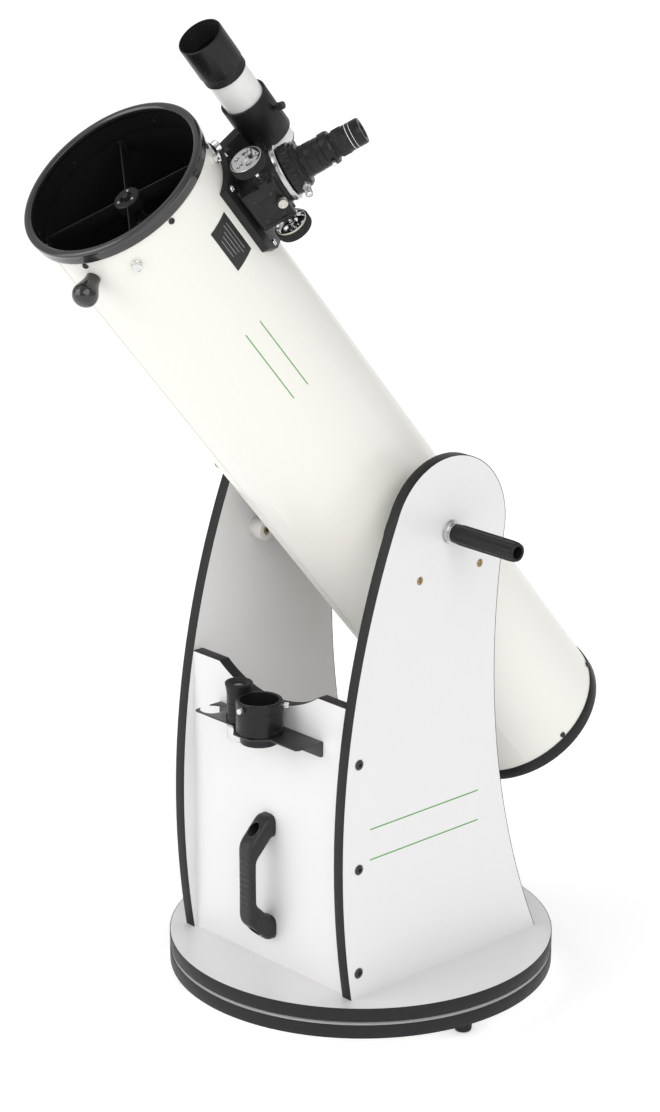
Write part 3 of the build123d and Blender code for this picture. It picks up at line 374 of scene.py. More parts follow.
def soften(points, radius, closed=True):
    """Rounds the corners of a (radius, height) or (x, y) outline."""
    count = len(points)
    result = []
    for index, point in enumerate(points):
        corner = Vector(point)
        if not closed and index in (0, count - 1):
            result.append(tuple(corner))
            continue
        before = Vector(points[index - 1]) - corner
        after = Vector(points[(index + 1) % count]) - corner
        if before.length < 1e-6 or after.length < 1e-6:
            continue
        turn = pi - before.angle(after)
        room = side_share * min(before.length, after.length)
        cut = min(radius * tan(min(turn, sharpest_turn) / 2), room)
        if turn < gentlest_turn or cut < least_cut:
            result.append(tuple(corner))
            continue
        start = corner + before.normalized() * cut
        stop = corner + after.normalized() * cut
        for step in range(corner_steps + 1):
            t = step / corner_steps
            result.append(tuple(start * (1 - t) ** 2 + corner * 2 * t * (1 - t) + stop * t * t))
    return result


def flutes(count, depth, low, high, floor=0.0, land=0.0):
    """Radius change for grooves along a turned surface, between two heights."""
    def shape(radius, height, angle):
        if radius < floor or not low <= height <= high:
            return radius, height
        wave = 0.5 + 0.5 * cos(count * angle)
        return radius - depth * max(0.0, (wave - land) / (1 - land)), height
    return shape


def cross_recess(height, reach, half, depth):
    """Cross-shaped recess in a turned screw head whose top lies above height."""
    def shape(radius, level, angle):
        if level < height or radius > reach:
            return radius, level
        inside = min(abs(radius * sin(angle)), abs(radius * cos(angle))) < half
        return radius, level - depth if inside else level
    return shape


def hex_recess(low, high, reach):
    """Turns a round socket between two heights into a six-sided one."""
    def shape(radius, level, angle):
        if radius > reach or radius < 0.2 or not low <= level <= high:
            return radius, level
        sector = (angle + pi / 6) % (pi / 3) - pi / 6
        return radius * cos(pi / 6) / cos(sector), level
    return shape


class Piece:
    """Collects lathed, extruded and copied shapes into one mesh that rides on a body."""

    def __init__(self, name, body, slot_name, *materials):
        self.name, self.body, self.slot_name = name, body, slot_name
        self.materials = materials or (slot_name,)
        self.bm = bmesh.new()

    def faces_added(self, before, material=0):
        """Gives every face made since before its material."""
        self.bm.faces.ensure_lookup_table()
        for face in self.bm.faces[before:]:
            face.material_index = material

    def lathe(self, matrix, profile, steps=96, soft=0.3, shape=None, material=0):
        """Solid of revolution about local z. A profile that leaves and rejoins the axis is closed there."""
        before = len(self.bm.faces)
        capped = profile[0][0] == 0 and profile[-1][0] == 0
        outline = soften(profile, soft, closed=not capped) if soft else list(profile)
        rows = []
        for radius, height in outline:
            if radius < 1e-6:
                rows.append([self.bm.verts.new(matrix @ Vector((0, 0, height)))])
                continue
            row = []
            for step in range(steps):
                angle = 2 * pi * step / steps
                r, h = shape(radius, height, angle) if shape else (radius, height)
                row.append(self.bm.verts.new(matrix @ Vector((r * cos(angle), r * sin(angle), h))))
            rows.append(row)
        pairs = list(zip(rows, rows[1:])) + ([] if capped else [(rows[-1], rows[0])])
        for low, high in pairs:
            for step in range(steps):
                after = (step + 1) % steps
                ring = [low[step % len(low)], low[after % len(low)]]
                ring += [high[after % len(high)], high[step % len(high)]]
                corners = [v for i, v in enumerate(ring) if v not in ring[:i]]
                if len(corners) > 2:
                    self.bm.faces.new(corners)
        self.faces_added(before, material)

    def prism(self, matrix, outline, low, high, edge=0.3):
        """Outline extruded along local z with rounded edges."""
        before = len(self.bm.faces)
        bottom = [self.bm.verts.new(matrix @ Vector((x, y, low))) for x, y in outline]
        top = [self.bm.verts.new(matrix @ Vector((x, y, high))) for x, y in outline]
        made = [self.bm.faces.new(bottom), self.bm.faces.new(top)]
        for index in range(len(outline)):
            after = (index + 1) % len(outline)
            made.append(self.bm.faces.new((bottom[index], bottom[after], top[after], top[index])))
        if edge:
            bmesh.ops.recalc_face_normals(self.bm, faces=made)
            ring = [e for e in {e for f in made[:2] for e in f.edges}]
            ring += [e for f in made[2:] for e in f.edges if e not in ring and e.calc_face_angle(0) > 0.6]
            bmesh.ops.bevel(self.bm, geom=list(set(ring)), offset=edge * MM, segments=2, profile=0.5,
                            affect="EDGES", clamp_overlap=True)
        self.faces_added(before)

    def node(self, node_name, edge=0.25, angle=32):
        """Copy of a CAD node with its flat faces merged and its sharp edges rounded."""
        before = len(self.bm.faces)
        kept_verts, kept_edges = len(self.bm.verts), len(self.bm.edges)
        self.bm.from_mesh(nodes[node_name].data)
        self.bm.verts.ensure_lookup_table()
        bmesh.ops.remove_doubles(self.bm, verts=self.bm.verts[kept_verts:], dist=2e-6)
        self.bm.verts.ensure_lookup_table()
        self.bm.edges.ensure_lookup_table()
        bmesh.ops.dissolve_limit(self.bm, angle_limit=radians(0.6), use_dissolve_boundaries=False,
                                 verts=self.bm.verts[kept_verts:], edges=self.bm.edges[kept_edges:])
        self.bm.edges.ensure_lookup_table()
        sharp = [e for e in self.bm.edges[kept_edges:] if len(e.link_faces) == 2
                 and e.calc_face_angle(0) > radians(angle)]
        if edge and sharp:
            bmesh.ops.bevel(self.bm, geom=sharp, offset=edge * MM, segments=2, profile=0.5, affect="EDGES",
                            clamp_overlap=True)
        self.faces_added(before)

    def loft(self, rows):
        """Joins rows of points into a closed tube."""
        before = len(self.bm.faces)
        made = [[self.bm.verts.new(spot) for spot in row] for row in rows]
        for low, high in zip(made, made[1:]):
            for index in range(len(low)):
                after = (index + 1) % len(low)
                self.bm.faces.new((low[index], low[after], high[after], high[index]))
        self.bm.faces.new(made[0])
        self.bm.faces.new(made[-1])
        self.faces_added(before)

    def bore(self, matrix, radius, low, high, steps=64):
        """Cuts a round hole through everything collected so far."""
        cutter = Piece("cutter", self.body, self.slot_name)
        cutter.lathe(matrix, [(0, low), (radius, low), (radius, high), (0, high)], steps, 0)
        pair = []
        for shape in (self.bm, cutter.bm):
            bmesh.ops.recalc_face_normals(shape, faces=shape.faces)
            mesh = bpy.data.meshes.new("carving")
            shape.to_mesh(mesh)
            pair.append(bpy.data.objects.new("carving", mesh))
            bpy.context.scene.collection.objects.link(pair[-1])
        change = pair[0].modifiers.new("bore", "BOOLEAN")
        change.operation, change.solver, change.object = "DIFFERENCE", "EXACT", pair[1]
        carved = pair[0].evaluated_get(bpy.context.evaluated_depsgraph_get())
        result = bpy.data.meshes.new_from_object(carved)
        self.bm.clear()
        self.bm.from_mesh(result)
        for made in pair:
            bpy.data.objects.remove(made)

    def repaint(self, matrix, test, material):
        """Another material where a face centre's distance from local z, and its height, pass the test."""
        inverse = matrix.inverted()
        for face in self.bm.faces:
            spot = inverse @ face.calc_center_median()
            if test(sqrt(spot.x ** 2 + spot.y ** 2), spot.z):
                face.material_index = material

    def done(self, *replaced, smooth=38):
        bmesh.ops.recalc_face_normals(self.bm, faces=self.bm.faces)
        mesh = bpy.data.meshes.new(self.name)
        self.bm.to_mesh(mesh)
        self.bm.free()
        mesh.polygons.foreach_set("use_smooth", [True] * len(mesh.polygons))
        mesh.set_sharp_from_angle(angle=radians(smooth))
        while len(mesh.materials):
            mesh.materials.pop()
        for material in self.materials:
            mesh.materials.append(looks[material])
        made = bpy.data.objects.new(self.name, mesh)
        bpy.context.scene.collection.objects.link(made)
        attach(made, self.body)
        if replaced:
            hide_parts(*replaced)
        return made


def refined(name, body, slot_name, replaced, edge):
    """A CAD node's own shape with rounded edges."""
    piece = Piece(name, body, slot_name)
    piece.node(replaced, edge)
    return piece.done(replaced)


def rectangle(left, end, half):
    """Outline from left to end along local x, and half to each side of it."""
    return [(left, -half), (end, -half), (end, half), (left, half)]


def hexagon(reach):
    return [(reach * cos(radians(60 * i)), reach * sin(radians(60 * i))) for i in range(6)]


# -------------------- main tube and rings
TUBE = "optical_tube"
wall, seam_angle, seam_half = 1.2, -95, 2.2
skin = tube_radius - wall
tube_low, tube_high = -456, 615
front_station, hub_station, spider_station = 617, 597, 591
knob_angle, knob_station = -73, 590
plate_angle, plate_station = 10.7, 523.5
ring_screw_angles = (-72, -12, 48, 108, 168, 228)
spider_angles = (-43, 47, 137, 227)

shell = Piece("tube_shell", TUBE, "tube_ivory", "tube_ivory", "inside_black")
shell.node("tube", 0.0)
shell.repaint(tube_place(0), lambda radius, height: radius < skin + 0.35, 1)
shell.done("tube")

seam = Piece("tube_seam", TUBE, "tube_ivory")
seam_outline = rectangle(tube_low, tube_high, seam_half)
seam.prism(radial_place(seam_angle, 0, skin), seam_outline, wall, wall + 0.3, 0.12)
seam.done()

ring = Piece("front_ring_moulding", TUBE, "ring_black", "ring_black", "inside_black")
ring.lathe(tube_place(front_station), [
    (116.05, 0), (118.4, 0), (119.6, 1.6), (120, 5), (120.1, 11.5), (120.8, 14), (120.3, 16.8), (117.6, 18),
    (113.6, 18), (110.8, 16.6), (110.2, 12.6), (112.8, 9), (112.8, -15), (114.75, -15), (114.75, 14),
    (116.05, 14)], 224, 1.6)
ring.repaint(tube_place(0), lambda radius, height: radius < 113.5 and height < 628, 1)
ring.done("front_ring")

refined("rear_ring_casting", TUBE, "cast_black", "rear_ring", 0.5)

screws = Piece("ring_screw_heads", TUBE, "fastener_black")
for angle in ring_screw_angles:
    for station in (tube_high - 4, tube_low + 3):
        screws.lathe(radial_place(angle, station, tube_radius), [
            (0, -4), (1.8, -4), (1.8, -0.1), (4, -0.1), (4, 0.6), (3.5, 1.7), (2.6, 2.4), (1.9, 2.6),
            (1.2, 2.68), (0.6, 2.7), (0, 2.7)], 40, 0.15, cross_recess(2.3, 2.4, 0.55, 1.1))
screws.done("ring_screws")

caps = Piece("spider_cap_nuts", TUBE, "chrome_bright")
for angle in spider_angles:
    caps.lathe(radial_place(angle, spider_station, tube_radius), [
        (0, -5.5), (2.5, -5.5), (2.5, 0.05), (6.5, 0.05), (6.5, 2.6), (5.9, 3.2), (6.1, 3.8), (6.1, 7.4),
        (5.6, 8.1), (4.2, 8.8), (2, 9), (0, 9)], 96, 0.25, flutes(24, 0.45, 3.7, 7.6, 5.5))
caps.done("spider_screws")

refined("spider_assembly", TUBE, "cast_black", "spider", 0.2)

hub_bolts = Piece("spider_hub_bolts", TUBE, "steel_zinc")
for index in range(3):
    spot = pivot + (along * (hub_station + 3.4) + out_from(2 + index * 120) * 11) * MM
    hub_bolts.lathe(place(spot, along, right), [
        (0, -1.8), (1.9, -1.8), (1.9, 0), (1.7, 0.3), (1.0, 0.3), (0.9, -0.8), (0, -0.8)], 36, 0.1,
        hex_recess(-0.9, 0.31, 1.02))
hub_bolts.lathe(tube_place(hub_station), [
    (0, -2), (3.8, -2), (3.8, 3.4), (3.1, 4.2), (1.8, 4.2), (1.7, 2.2), (0, 2.2)], 48, 0.2,
    cross_recess(9, 1, 1, 1))
hub_bolts.done()

refined("secondary_holder_body", TUBE, "handle_black", "secondary_holder", 0.3)

knob = Piece("pull_knob_ball", TUBE, "knob_gloss_black")
knob.lathe(radial_place(knob_angle, knob_station, tube_radius), [
    (0, -0.3), (9.0, -0.3), (9.1, 1.2), (9.3, 4), (10.2, 8), (11.6, 12), (13.3, 16.4), (14.9, 20.4),
    (15.8, 24.2), (15.85, 27.4), (15.2, 30.6), (13.8, 33.6), (11.6, 36.2), (8.6, 38.3), (4.8, 39.6), (0, 40)],
    96, 1.2)
knob.done("pull_knob")


def curved_patch(piece, angle, station, length, width, low, high, material=0):
    """Plate bent round the tube, length along it and width round it."""
    before = len(piece.bm.faces)
    rows = max(4, int(width / 2))
    grid = {}
    for level, radius in enumerate((tube_radius + low, tube_radius + high)):
        for i in (0, 1):
            for j in range(rows + 1):
                s = station + length * (i - 0.5)
                phi = angle + degrees(width / tube_radius) * (j / rows - 0.5)
                point = pivot + (along * s + out_from(phi) * radius) * MM
                grid[level, i, j] = piece.bm.verts.new(point)
    for level in (0, 1):
        for j in range(rows):
            corners = (level, 0, j), (level, 1, j), (level, 1, j + 1), (level, 0, j + 1)
            piece.bm.faces.new([grid[corner] for corner in corners])
    for j in (0, rows):
        piece.bm.faces.new((grid[0, 0, j], grid[0, 1, j], grid[1, 1, j], grid[1, 0, j]))
    for j in range(rows):
        for i in (0, 1):
            piece.bm.faces.new((grid[0, i, j], grid[0, i, j + 1], grid[1, i, j + 1], grid[1, i, j]))
    piece.faces_added(before, material)


plate = Piece("nameplate_blank", TUBE, "label_black", "label_black", "print_grey")
curved_patch(plate, plate_angle, plate_station, 65, 35, 0.02, 0.45)
for index, length in enumerate((44, 48, 36, 32, 28)):
    rule_angle = plate_angle + degrees((9.6 - index * 5.2) / tube_radius)
    curved_patch(plate, rule_angle, plate_station, length, 0.55, 0.40, 0.47, 1)
plate.done("nameplate", smooth=30)

stripes = Piece("tube_pinstripes", TUBE, "tube_ivory", "print_green")
for angle in (-6, -18):
    curved_patch(stripes, angle, 358, 120, 1.3, 0.0, 0.06)
stripes.done()

# -------------------- focuser
focus_frame = radial_place(focus_angle, focus_station)
across = focus_axis.cross(along)
draw_radius = 27.0
axle_height, knob_shift = 151.5, 8.5
panel_shift, panel_height, rib_pitch = -2, 143.5, 3.5
lock_shift, lock_height = -1, 160.3
clamp_height, extension_lock_height = 191, 233
clamp_angles = (108, 228)


def focus_spot(x, y, height):
    return pivot + (along * (focus_station + x) + across * y + focus_axis * height) * MM


def axle_place(offset):
    return place(focus_spot(knob_shift + offset, 35.0, axle_height), along, across)


def across_place(x, height, y):
    return place(focus_spot(x, y, height), across, along)


def focus_side(angle, height):
    outward = along * cos(radians(angle)) + across * sin(radians(angle))
    return place(focus_spot(0, 0, height), outward, focus_axis)


def screw_head(piece, matrix, radius, height, depth=2.0, material=0):
    """Pan-head screw with a cross recess, its seat at local zero."""
    shank = radius * 0.45
    piece.lathe(matrix, [
        (0, -depth), (shank, -depth), (shank, 0.02), (radius, 0.02), (radius, height * 0.35),
        (radius * 0.86, height * 0.8), (radius * 0.6, height * 0.97), (radius * 0.45, height),
        (radius * 0.3, height), (radius * 0.15, height), (0, height)], 48, 0.1,
        cross_recess(height * 0.85, radius * 0.62, radius * 0.14, height / 2), material)


def thumbscrew(name, body, slot_name, replaced, matrix, profile, low, high, floor, count, depth):
    """Turned screw with a knurled head between two heights."""
    piece = Piece(name, body, slot_name)
    piece.lathe(matrix, profile, count * 6, 0.2, flutes(count, depth, low, high, floor))
    return piece.done(replaced)


refined("focuser_base_casting", TUBE, "cast_black", "focuser_base", 0.9)

body_casting = Piece("focuser_body_casting", TUBE, "cast_black")
body_casting.node("focuser_body", 0.7)
panel_place = across_place(panel_shift, panel_height - 1.5, 41)
body_casting.prism(panel_place, rectangle(-20.6, 20.6, 14.6), -0.4, 1.5, 0.5)
body_casting.prism(across_place(panel_shift, panel_height, 42.2), rectangle(-13, 13, 9), -0.2, 1.2, 0.5)
for index in range(-2, 3):
    rib_place = across_place(panel_shift, panel_height + index * rib_pitch, 43.2)
    body_casting.prism(rib_place, rectangle(-10, 10, 0.7), -0.2, 0.5, 0.2)
body_casting.done("focuser_body")

body_screws = Piece("focuser_screws", TUBE, "fastener_black", "fastener_black", "chrome_bright")
for x in (-17, 17):
    for height in (131, 153.5):
        screw_head(body_screws, across_place(panel_shift + x, height, 42.5), 2.5, 1.3)
for x, y in ((-58, 32), (-60, -24), (44, 38), (44, -26)):
    tilted = focus_angle - degrees(asin(y / (tube_radius + 8)))
    screw_head(body_screws, radial_place(tilted, focus_station + x, tube_radius + 8), 4.0, 2.2, 3.0, 1)
for x in (-27, 27):
    screw_head(body_screws, place(focus_spot(x, 29, 165), focus_axis, along), 2.6, 1.5)
body_screws.done()

refined("focuser_flange", TUBE, "steel_zinc", "focuser_flange_ring", 0.35)

axle = Piece("focus_axle_and_knobs", "focus_knobs", "alloy_bare", "alloy_speckled", "chrome_bright",
             "cast_black")
axle.node("focus_axle", 0.3)
axle.repaint(axle_place(0), lambda radius, height: radius > 3.4 and 46 < height < 59.9, 2)
axle.repaint(axle_place(0), lambda radius, height: radius < 3.4 or (height < 0 and radius < 19.5), 1)
axle.lathe(axle_place(60.2), [
    (0, -1), (4.2, -1), (4.2, 0.3), (3.6, 0.7), (1.6, 0.7), (1.5, 0.1), (0, 0.1)], 48, 0.15, material=1)
axle.done("focus_axle")

rims = Piece("focus_knob_rubber", "focus_knobs", "rubber_black")
for start in (48.8, -61.8):
    rims.lathe(axle_place(start), [
        (20.4, 0), (21.9, 0), (22.6, 0.9), (22.6, 10.1), (21.9, 11), (20.4, 11)], 384, 0.25,
        flutes(64, 0.75, 0.5, 10.5, 21.5, -0.2))
rims.done("focus_knob_rims")

lock_outline = [
    (0, 30.2), (2.5, 30.2), (2.5, 45), (5.8, 45), (6.2, 45.6), (6.2, 52.2), (5.6, 53), (3.4, 53), (3.0, 52.5),
    (0, 52.5)]
thumbscrew("focus_lock_thumbscrew", "focus_lock", "alloy_bare", "focus_lock_screw",
           across_place(lock_shift, lock_height, 0), lock_outline, 45.4, 52.4, 5.7, 30, 0.3)

draw = Piece("drawtube_assembly", "draw", "anodised_black", "anodised_black", "steel_zinc")
draw.lathe(focus_frame, [
    (25.5, 112), (draw_radius, 112), (draw_radius, 177.4), (30, 177.4), (31.4, 178.6), (31.4, 179.6),
    (31.4, 189.8), (31.4, 190.3), (30.6, 191.5), (28.6, 191.5), (28.6, 195.6), (27.6, 197), (25.5, 197)], 384,
    0.3, flutes(24, 1.0, 179.4, 190.0, 31, 0.15))
draw.prism(place(focus_spot(0, 27.475, 114), focus_axis, along), rectangle(-4, 4, 1.4), 0, 62, 0.2)
for angle in (*clamp_angles, 288):
    draw.lathe(focus_side(angle, clamp_height), [
        (0, 27), (5.0, 27), (5.0, 33.3), (4.4, 34), (2.1, 34), (2.1, 31), (0, 31)], 48, 0.2, material=1)
draw.done("drawtube")

clamp_outline = [(0, 25.6), (2.0, 25.6), (2.0, 37), (4.2, 37), (4.6, 37.7), (4.6, 44.8), (4, 46), (0, 46)]
for index, angle in enumerate(clamp_angles, 1):
    thumbscrew(f"clamp_thumbscrew_{index}", f"clamp_{index}", "chrome_bright", f"clamp_screw_{index}",
               focus_side(angle, clamp_height), clamp_outline, 37.5, 45.2, 4.3, 26, 0.35)

extension = Piece("extension_tube_turned", "extension", "anodised_black")
extension.lathe(focus_frame, [
    (16, 160), (25.4, 160), (25.4, 197.1), (26.4, 197.1), (26.4, 199), (20.9, 199.3), (20.4, 200.2),
    (20.2, 205), (19.5, 205.4), (19.5, 206.6), (20.1, 207), (19.9, 218), (19.3, 218.4), (19.3, 219.4),
    (19.8, 219.8), (19.3, 226.6), (21.2, 228), (21.2, 236.5), (20.2, 239.5), (16, 239.5)], 128, 0.2)
extension.done("extension_tube")
small_outline = [(0, 16), (1.6, 16), (1.6, 23), (3.1, 23), (3.4, 23.5), (3.4, 27.9), (3, 28.6), (0, 28.6)]
thumbscrew("extension_thumbscrew", "extension_lock", "chrome_bright", "extension_screw",
           focus_side(100, extension_lock_height), small_outline, 23.3, 28.2, 3.2, 20, 0.25)

ocular = Piece("eyepiece_turned", "main_eyepiece", "anodised_black", "anodised_black", "print_white",
               "chrome_bright", "lens_glass")
ocular.lathe(focus_frame, [
    (0, 204), (15.9, 204), (15.9, 239.6), (16.2, 239.6), (16.2, 244), (17.4, 245), (17.4, 256), (16.6, 257),
    (16.6, 261.8), (16.4, 261.9), (16.4, 262.6), (16.6, 262.7), (16.6, 266.8), (16.4, 266.9), (16.4, 267.4),
    (16.6, 267.5), (16.6, 277), (15.8, 279), (11.5, 279), (8.2, 274.5), (8.0, 271.5), (0, 271.5)], 240, 0.0,
    flutes(40, 0.55, 245.0, 256.0, 17.2))
ocular.repaint(focus_frame, lambda radius, height: 261.85 < height < 262.65 or 266.85 < height < 267.45, 1)
ocular.repaint(focus_frame, lambda radius, height: height < 238, 2)
ocular.lathe(focus_frame, [
    (0, 272), (7.9, 272), (7.9, 273.2), (6, 274), (3, 274.5), (0, 274.6)], 64, 0.1, material=3)
ocular.done("eyepiece")

# -------------------- finder
finder_angle, finder_height = 78, 187.5
shoe_screw_angle, shoe_screw_station, adjuster_station = 75, 565.5, 557
finder_up, finder_across = out_from(finder_angle), out_from(finder_angle - 90)
finder_frame = place(pivot + finder_up * finder_height * MM, along, finder_across)


def finder_side(angle, station):
    outward = finder_across * cos(radians(angle)) + finder_up * sin(radians(angle))
    return place(pivot + (along * station + finder_up * finder_height) * MM, outward, along)


refined("finder_shoe_casting", TUBE, "cast_black", "finder_shoe", 0.5)
shoe_outline = [
    (0, 116.6), (2.5, 116.6), (2.5, 119.8), (7.1, 119.8), (7.7, 120.6), (7.7, 126.6), (7, 127.6),
    (4.5, 127.6), (4, 127.1), (0, 127.1)]
thumbscrew("shoe_thumbscrew", "shoe_lock", "chrome_bright", "shoe_screw",
           radial_place(shoe_screw_angle, shoe_screw_station), shoe_outline, 120.2, 127.0, 7.2, 30, 0.5)
refined("finder_bracket_casting", "bracket", "cast_black", "finder_bracket", 0.6)
adjuster_outline = [
    (0, 26.3), (2.0, 26.3), (2.0, 33), (4.4, 33), (4.8, 33.7), (4.8, 40.9), (4.2, 42), (0, 42)]
for index, angle in ((1, 40), (2, 140)):
    thumbscrew(f"adjusting_thumbscrew_{index}", f"adjuster_{index}", "fastener_black",
               f"adjusting_screw_{index}", finder_side(angle, adjuster_station), adjuster_outline, 33.5, 41.4,
               4.5, 26, 0.4)

sight = Piece("finder_tube_turned", "finder", "finder_white", "finder_white", "anodised_black", "lens_glass")
sight.lathe(finder_frame, [(24.6, 505), (25.8, 505), (25.8, 645), (24.6, 645)], 128, 0.2)
sight.lathe(finder_frame, [
    (12, 470.6), (13.4, 470), (15, 470), (16, 471.6), (16, 474.5), (15.4, 475), (15.4, 476), (16, 476.5),
    (16, 486), (20, 488), (20, 489), (20, 499), (20, 500), (25.0, 502), (25.8, 503.5), (25.8, 505),
    (24.6, 505), (24.6, 520), (12, 520)], 192, 0.2, flutes(48, 0.5, 488.5, 499.5, 19.5), 1)
sight.lathe(finder_frame, [(0, 473.5), (6, 473.2), (11.9, 472.6), (11.9, 476), (0, 476)], 64, 0.1, material=2)
sight.done("finder_tube")

shade = Piece("dew_shield_turned", "finder_cell", "anodised_black", "anodised_black", "lens_glass",
              "inside_black")
shade_outline = [
    (25.85, 626.5), (27.2, 626.5), (27.8, 627.2), (27.8, 627.8), (27.8, 635.6), (27.8, 636.2), (27.3, 636.6),
    (27.3, 638.0), (28.7, 639.4), (28.7, 686.2), (28.2, 687.9), (27.2, 687.9), (26.6, 687.2)]
for index in range(10):
    rib = 684.6 - index * 2.6
    shade_outline += [(26.65, rib), (26.1, rib - 0.6), (26.1, rib - 1.2), (26.65, rib - 1.8)]
shade_outline += [(26.2, 656), (25.85, 652)]
shade.lathe(finder_frame, shade_outline, 240, 0.15, flutes(60, 0.45, 627.4, 636.2, 27.6))
shade.repaint(finder_frame, lambda radius, height: radius < 26.9 and height > 640, 2)
shade.lathe(finder_frame, [
    (0, 653), (25.8, 653), (25.8, 655.4), (24, 656.2), (16, 657.3), (8, 658), (0, 658.2)], 96, 0.0,
    material=1)
shade.lathe(finder_frame, [(24.2, 655.9), (26.2, 655.6), (26.2, 657.6), (24.2, 657.6)], 96, 0.4, material=2)
shade.done("dew_shield")

# -------------------- rocker box
ROCKER = "rocker"
side_outer, front_face = 163.5, -166.5
axis_y = pivot.y / MM
board_top = deck - pivot.z / MM     # from the altitude axis
bush_reach, foot_reach, rule_half = 53.74, 222, 0.9


def front_place(x, y, z):
    """Facing forwards; y from the azimuth axis, z above the azimuth board."""
    return place(Vector((x, axis_y + y, deck + z)) * MM, Vector((0, -1, 0)), right)


refined("board_banding", ROCKER, "edge_band_grey", "board_edge_bands", 0.3)
refined("azimuth_banding", ROCKER, "edge_band_grey", "azimuth_edge_band", 0.3)
refined("ground_banding", "ground", "edge_band_grey", "ground_edge_band", 0.3)
refined("altitude_bush_rollers", ROCKER, "nylon_white", "altitude_bushes", 0.5)
refined("eyepiece_rack_plate", ROCKER, "fastener_black", "eyepiece_rack", 0.35)
refined("altitude_bearing_hubs", TUBE, "handle_black", "altitude_bearings", 0.8)
refined("pivot_bolt_stack", "ground", "steel_zinc", "pivot_bolt", 0.4)
refined("azimuth_slide_pads", "ground", "nylon_white", "azimuth_pads", 0.5)

bolts = Piece("assembly_bolt_heads", ROCKER, "fastener_black", "fastener_black", "steel_zinc")
for side in (-1, 1):
    for height in (35.0, 180.0, 324.0):
        seat = side_place(side, side_outer, front_face + 8, board_top + height)
        bolts.lathe(seat, [
            (0, -56), (3.5, -56), (3.5, -3), (7, -3), (7, -0.2), (6.6, 0.8), (5.6, 1.6), (4.2, 2.0),
            (3.1, 2.0), (3.0, 1.6), (3.0, -0.6), (0, -0.6)], 60, 0.15, hex_recess(-0.8, 1.7, 3.05))
        bolts.lathe(seat, [(6.9, 0.02), (7.8, 0.02), (7.8, 0.2), (6.9, 0.2)], 60, 0.0, material=1)
for height in (50.0, 195.0):
    seat = front_place(0, front_face - 8, height)
    bolts.lathe(seat, [
        (0, -30), (3, -30), (3, 0), (6, 0), (6, 4), (5.4, 5.2), (4.2, 6), (3.1, 6), (3.0, 5.6), (3.0, 3),
        (0, 3)], 60, 0.15, hex_recess(2.9, 5.7, 3.05))
    bolts.prism(front_place(0, front_face + 16, height), hexagon(5.8), -5, 0, 0.3)
for x in (-52.0, 36.0):
    screw_head(bolts, front_place(x, front_face - 2, 329.0), 4.0, 2.4, 14.0)
bolts.done("assembly_bolts")

brass = Piece("bush_screw_heads", ROCKER, "brass_plated")
for side in (-1, 1):
    for y in (-bush_reach, bush_reach):
        seat = side_place(side, side_outer, y, -bush_reach)
        brass.lathe(seat, [
            (0, -37), (2.45, -37), (2.45, -3), (5.5, -3), (5.5, -0.4), (5.0, 0.3), (3.8, 0.7), (2.6, 0.78),
            (1.8, 0.8), (1.0, 0.8), (0.5, 0.8), (0, 0.8)], 60, 0.1, cross_recess(0.55, 3.3, 0.75, 1.3))
        brass.prism(side_place(side, side_outer - 37, y, -bush_reach), hexagon(4.6), 0, 4, 0.25)
brass.done("bush_screws")

handle_low, handle_high = 34.0, 211.0


def handle_section(share):
    """Outer and inner points at a share of the handle's length, as distance from the board and height."""
    stops = ((0.0, (0, 34), (0, 66)), (0.05, (9, 34), (4, 66)), (0.09, (13.5, 36.5), (7.5, 68.5)),
             (0.25, (41, 64), (28.3, 89.3)), (0.30, (44, 72), (31, 96)), (0.50, (44, 122.5), (31, 122.5)))
    mirrored = share > 0.5
    share = 1 - share if mirrored else share
    for (start, outer, inner), (stop, next_outer, next_inner) in zip(stops, stops[1:]):
        if share <= stop + 1e-9:
            t = (share - start) / (stop - start)
            points = [Vector(a).lerp(Vector(b), t) for a, b in ((outer, next_outer), (inner, next_inner))]
            break
    if mirrored:
        points = [Vector((p.x, handle_low + handle_high - p.y)) for p in points]
    return points


def grip_loft(piece, rings=180, sides=56, power=3.4):
    """Bowed handle with a rounded section and ripples along the outside of the grip."""
    spans = [[handle_section(min(1, max(0, (r + k) / rings))) for k in (-3, -1.5, 0, 1.5, 3)]
             for r in range(rings + 1)]
    rows = []
    for index, group in enumerate(spans):
        outer, inner = (sum((pair[i] for pair in group), Vector((0, 0))) / len(group) for i in (0, 1))
        if index in (0, rings):
            outer, inner = group[2]
        centre, reach = (outer + inner) / 2, (outer - inner) / 2
        middle_share = abs(index / rings - 0.5) * 2
        ripple = 0.55 * max(0.0, 1 - (middle_share / 0.46) ** 8) * (0.5 - 0.5 * cos(index * 2 * pi / 6))
        half = 14.0 - 1.6 * max(0.0, 1 - (middle_share / 0.55) ** 4)
        row = []
        for side in range(sides):
            c, s = cos(2 * pi * side / sides), sin(2 * pi * side / sides)
            across_share = abs(c) ** (2 / power) * (1 if c >= 0 else -1)
            depth_share = abs(s) ** (2 / power) * (1 if s >= 0 else -1)
            point = centre + reach * depth_share * (1 - ripple * max(0.0, s) / max(reach.length, 1))
            depth = axis_y + front_face - max(0.0, point.x)
            row.append(Vector((half * across_share, depth, deck + point.y)) * MM)
        rows.append(row)
    piece.loft(rows)


def sloped(rise, lift):
    """Tilts a turned ring onto a sloping face."""
    def shape(radius, height, angle):
        return radius, height + lift + rise * radius * sin(angle)
    return shape


handle = Piece("carry_handle_moulding", ROCKER, "handle_black", "handle_black", "knob_gloss_black")
grip_loft(handle)
for height, rise in ((50.0, 0.96), (195.0, -0.96)):
    seat = front_place(0, front_face - 8, height)
    handle.bore(seat, 7.8, 0, 60)
    handle.lathe(seat, [
        (7.6, -1.0), (9.2, -1.0), (9.6, 0.3), (9.0, 1.0), (7.9, 1.0), (7.6, 0.2)], 72, 0.4,
        sloped(rise, 18.2), 1)
handle.done("carry_handle")

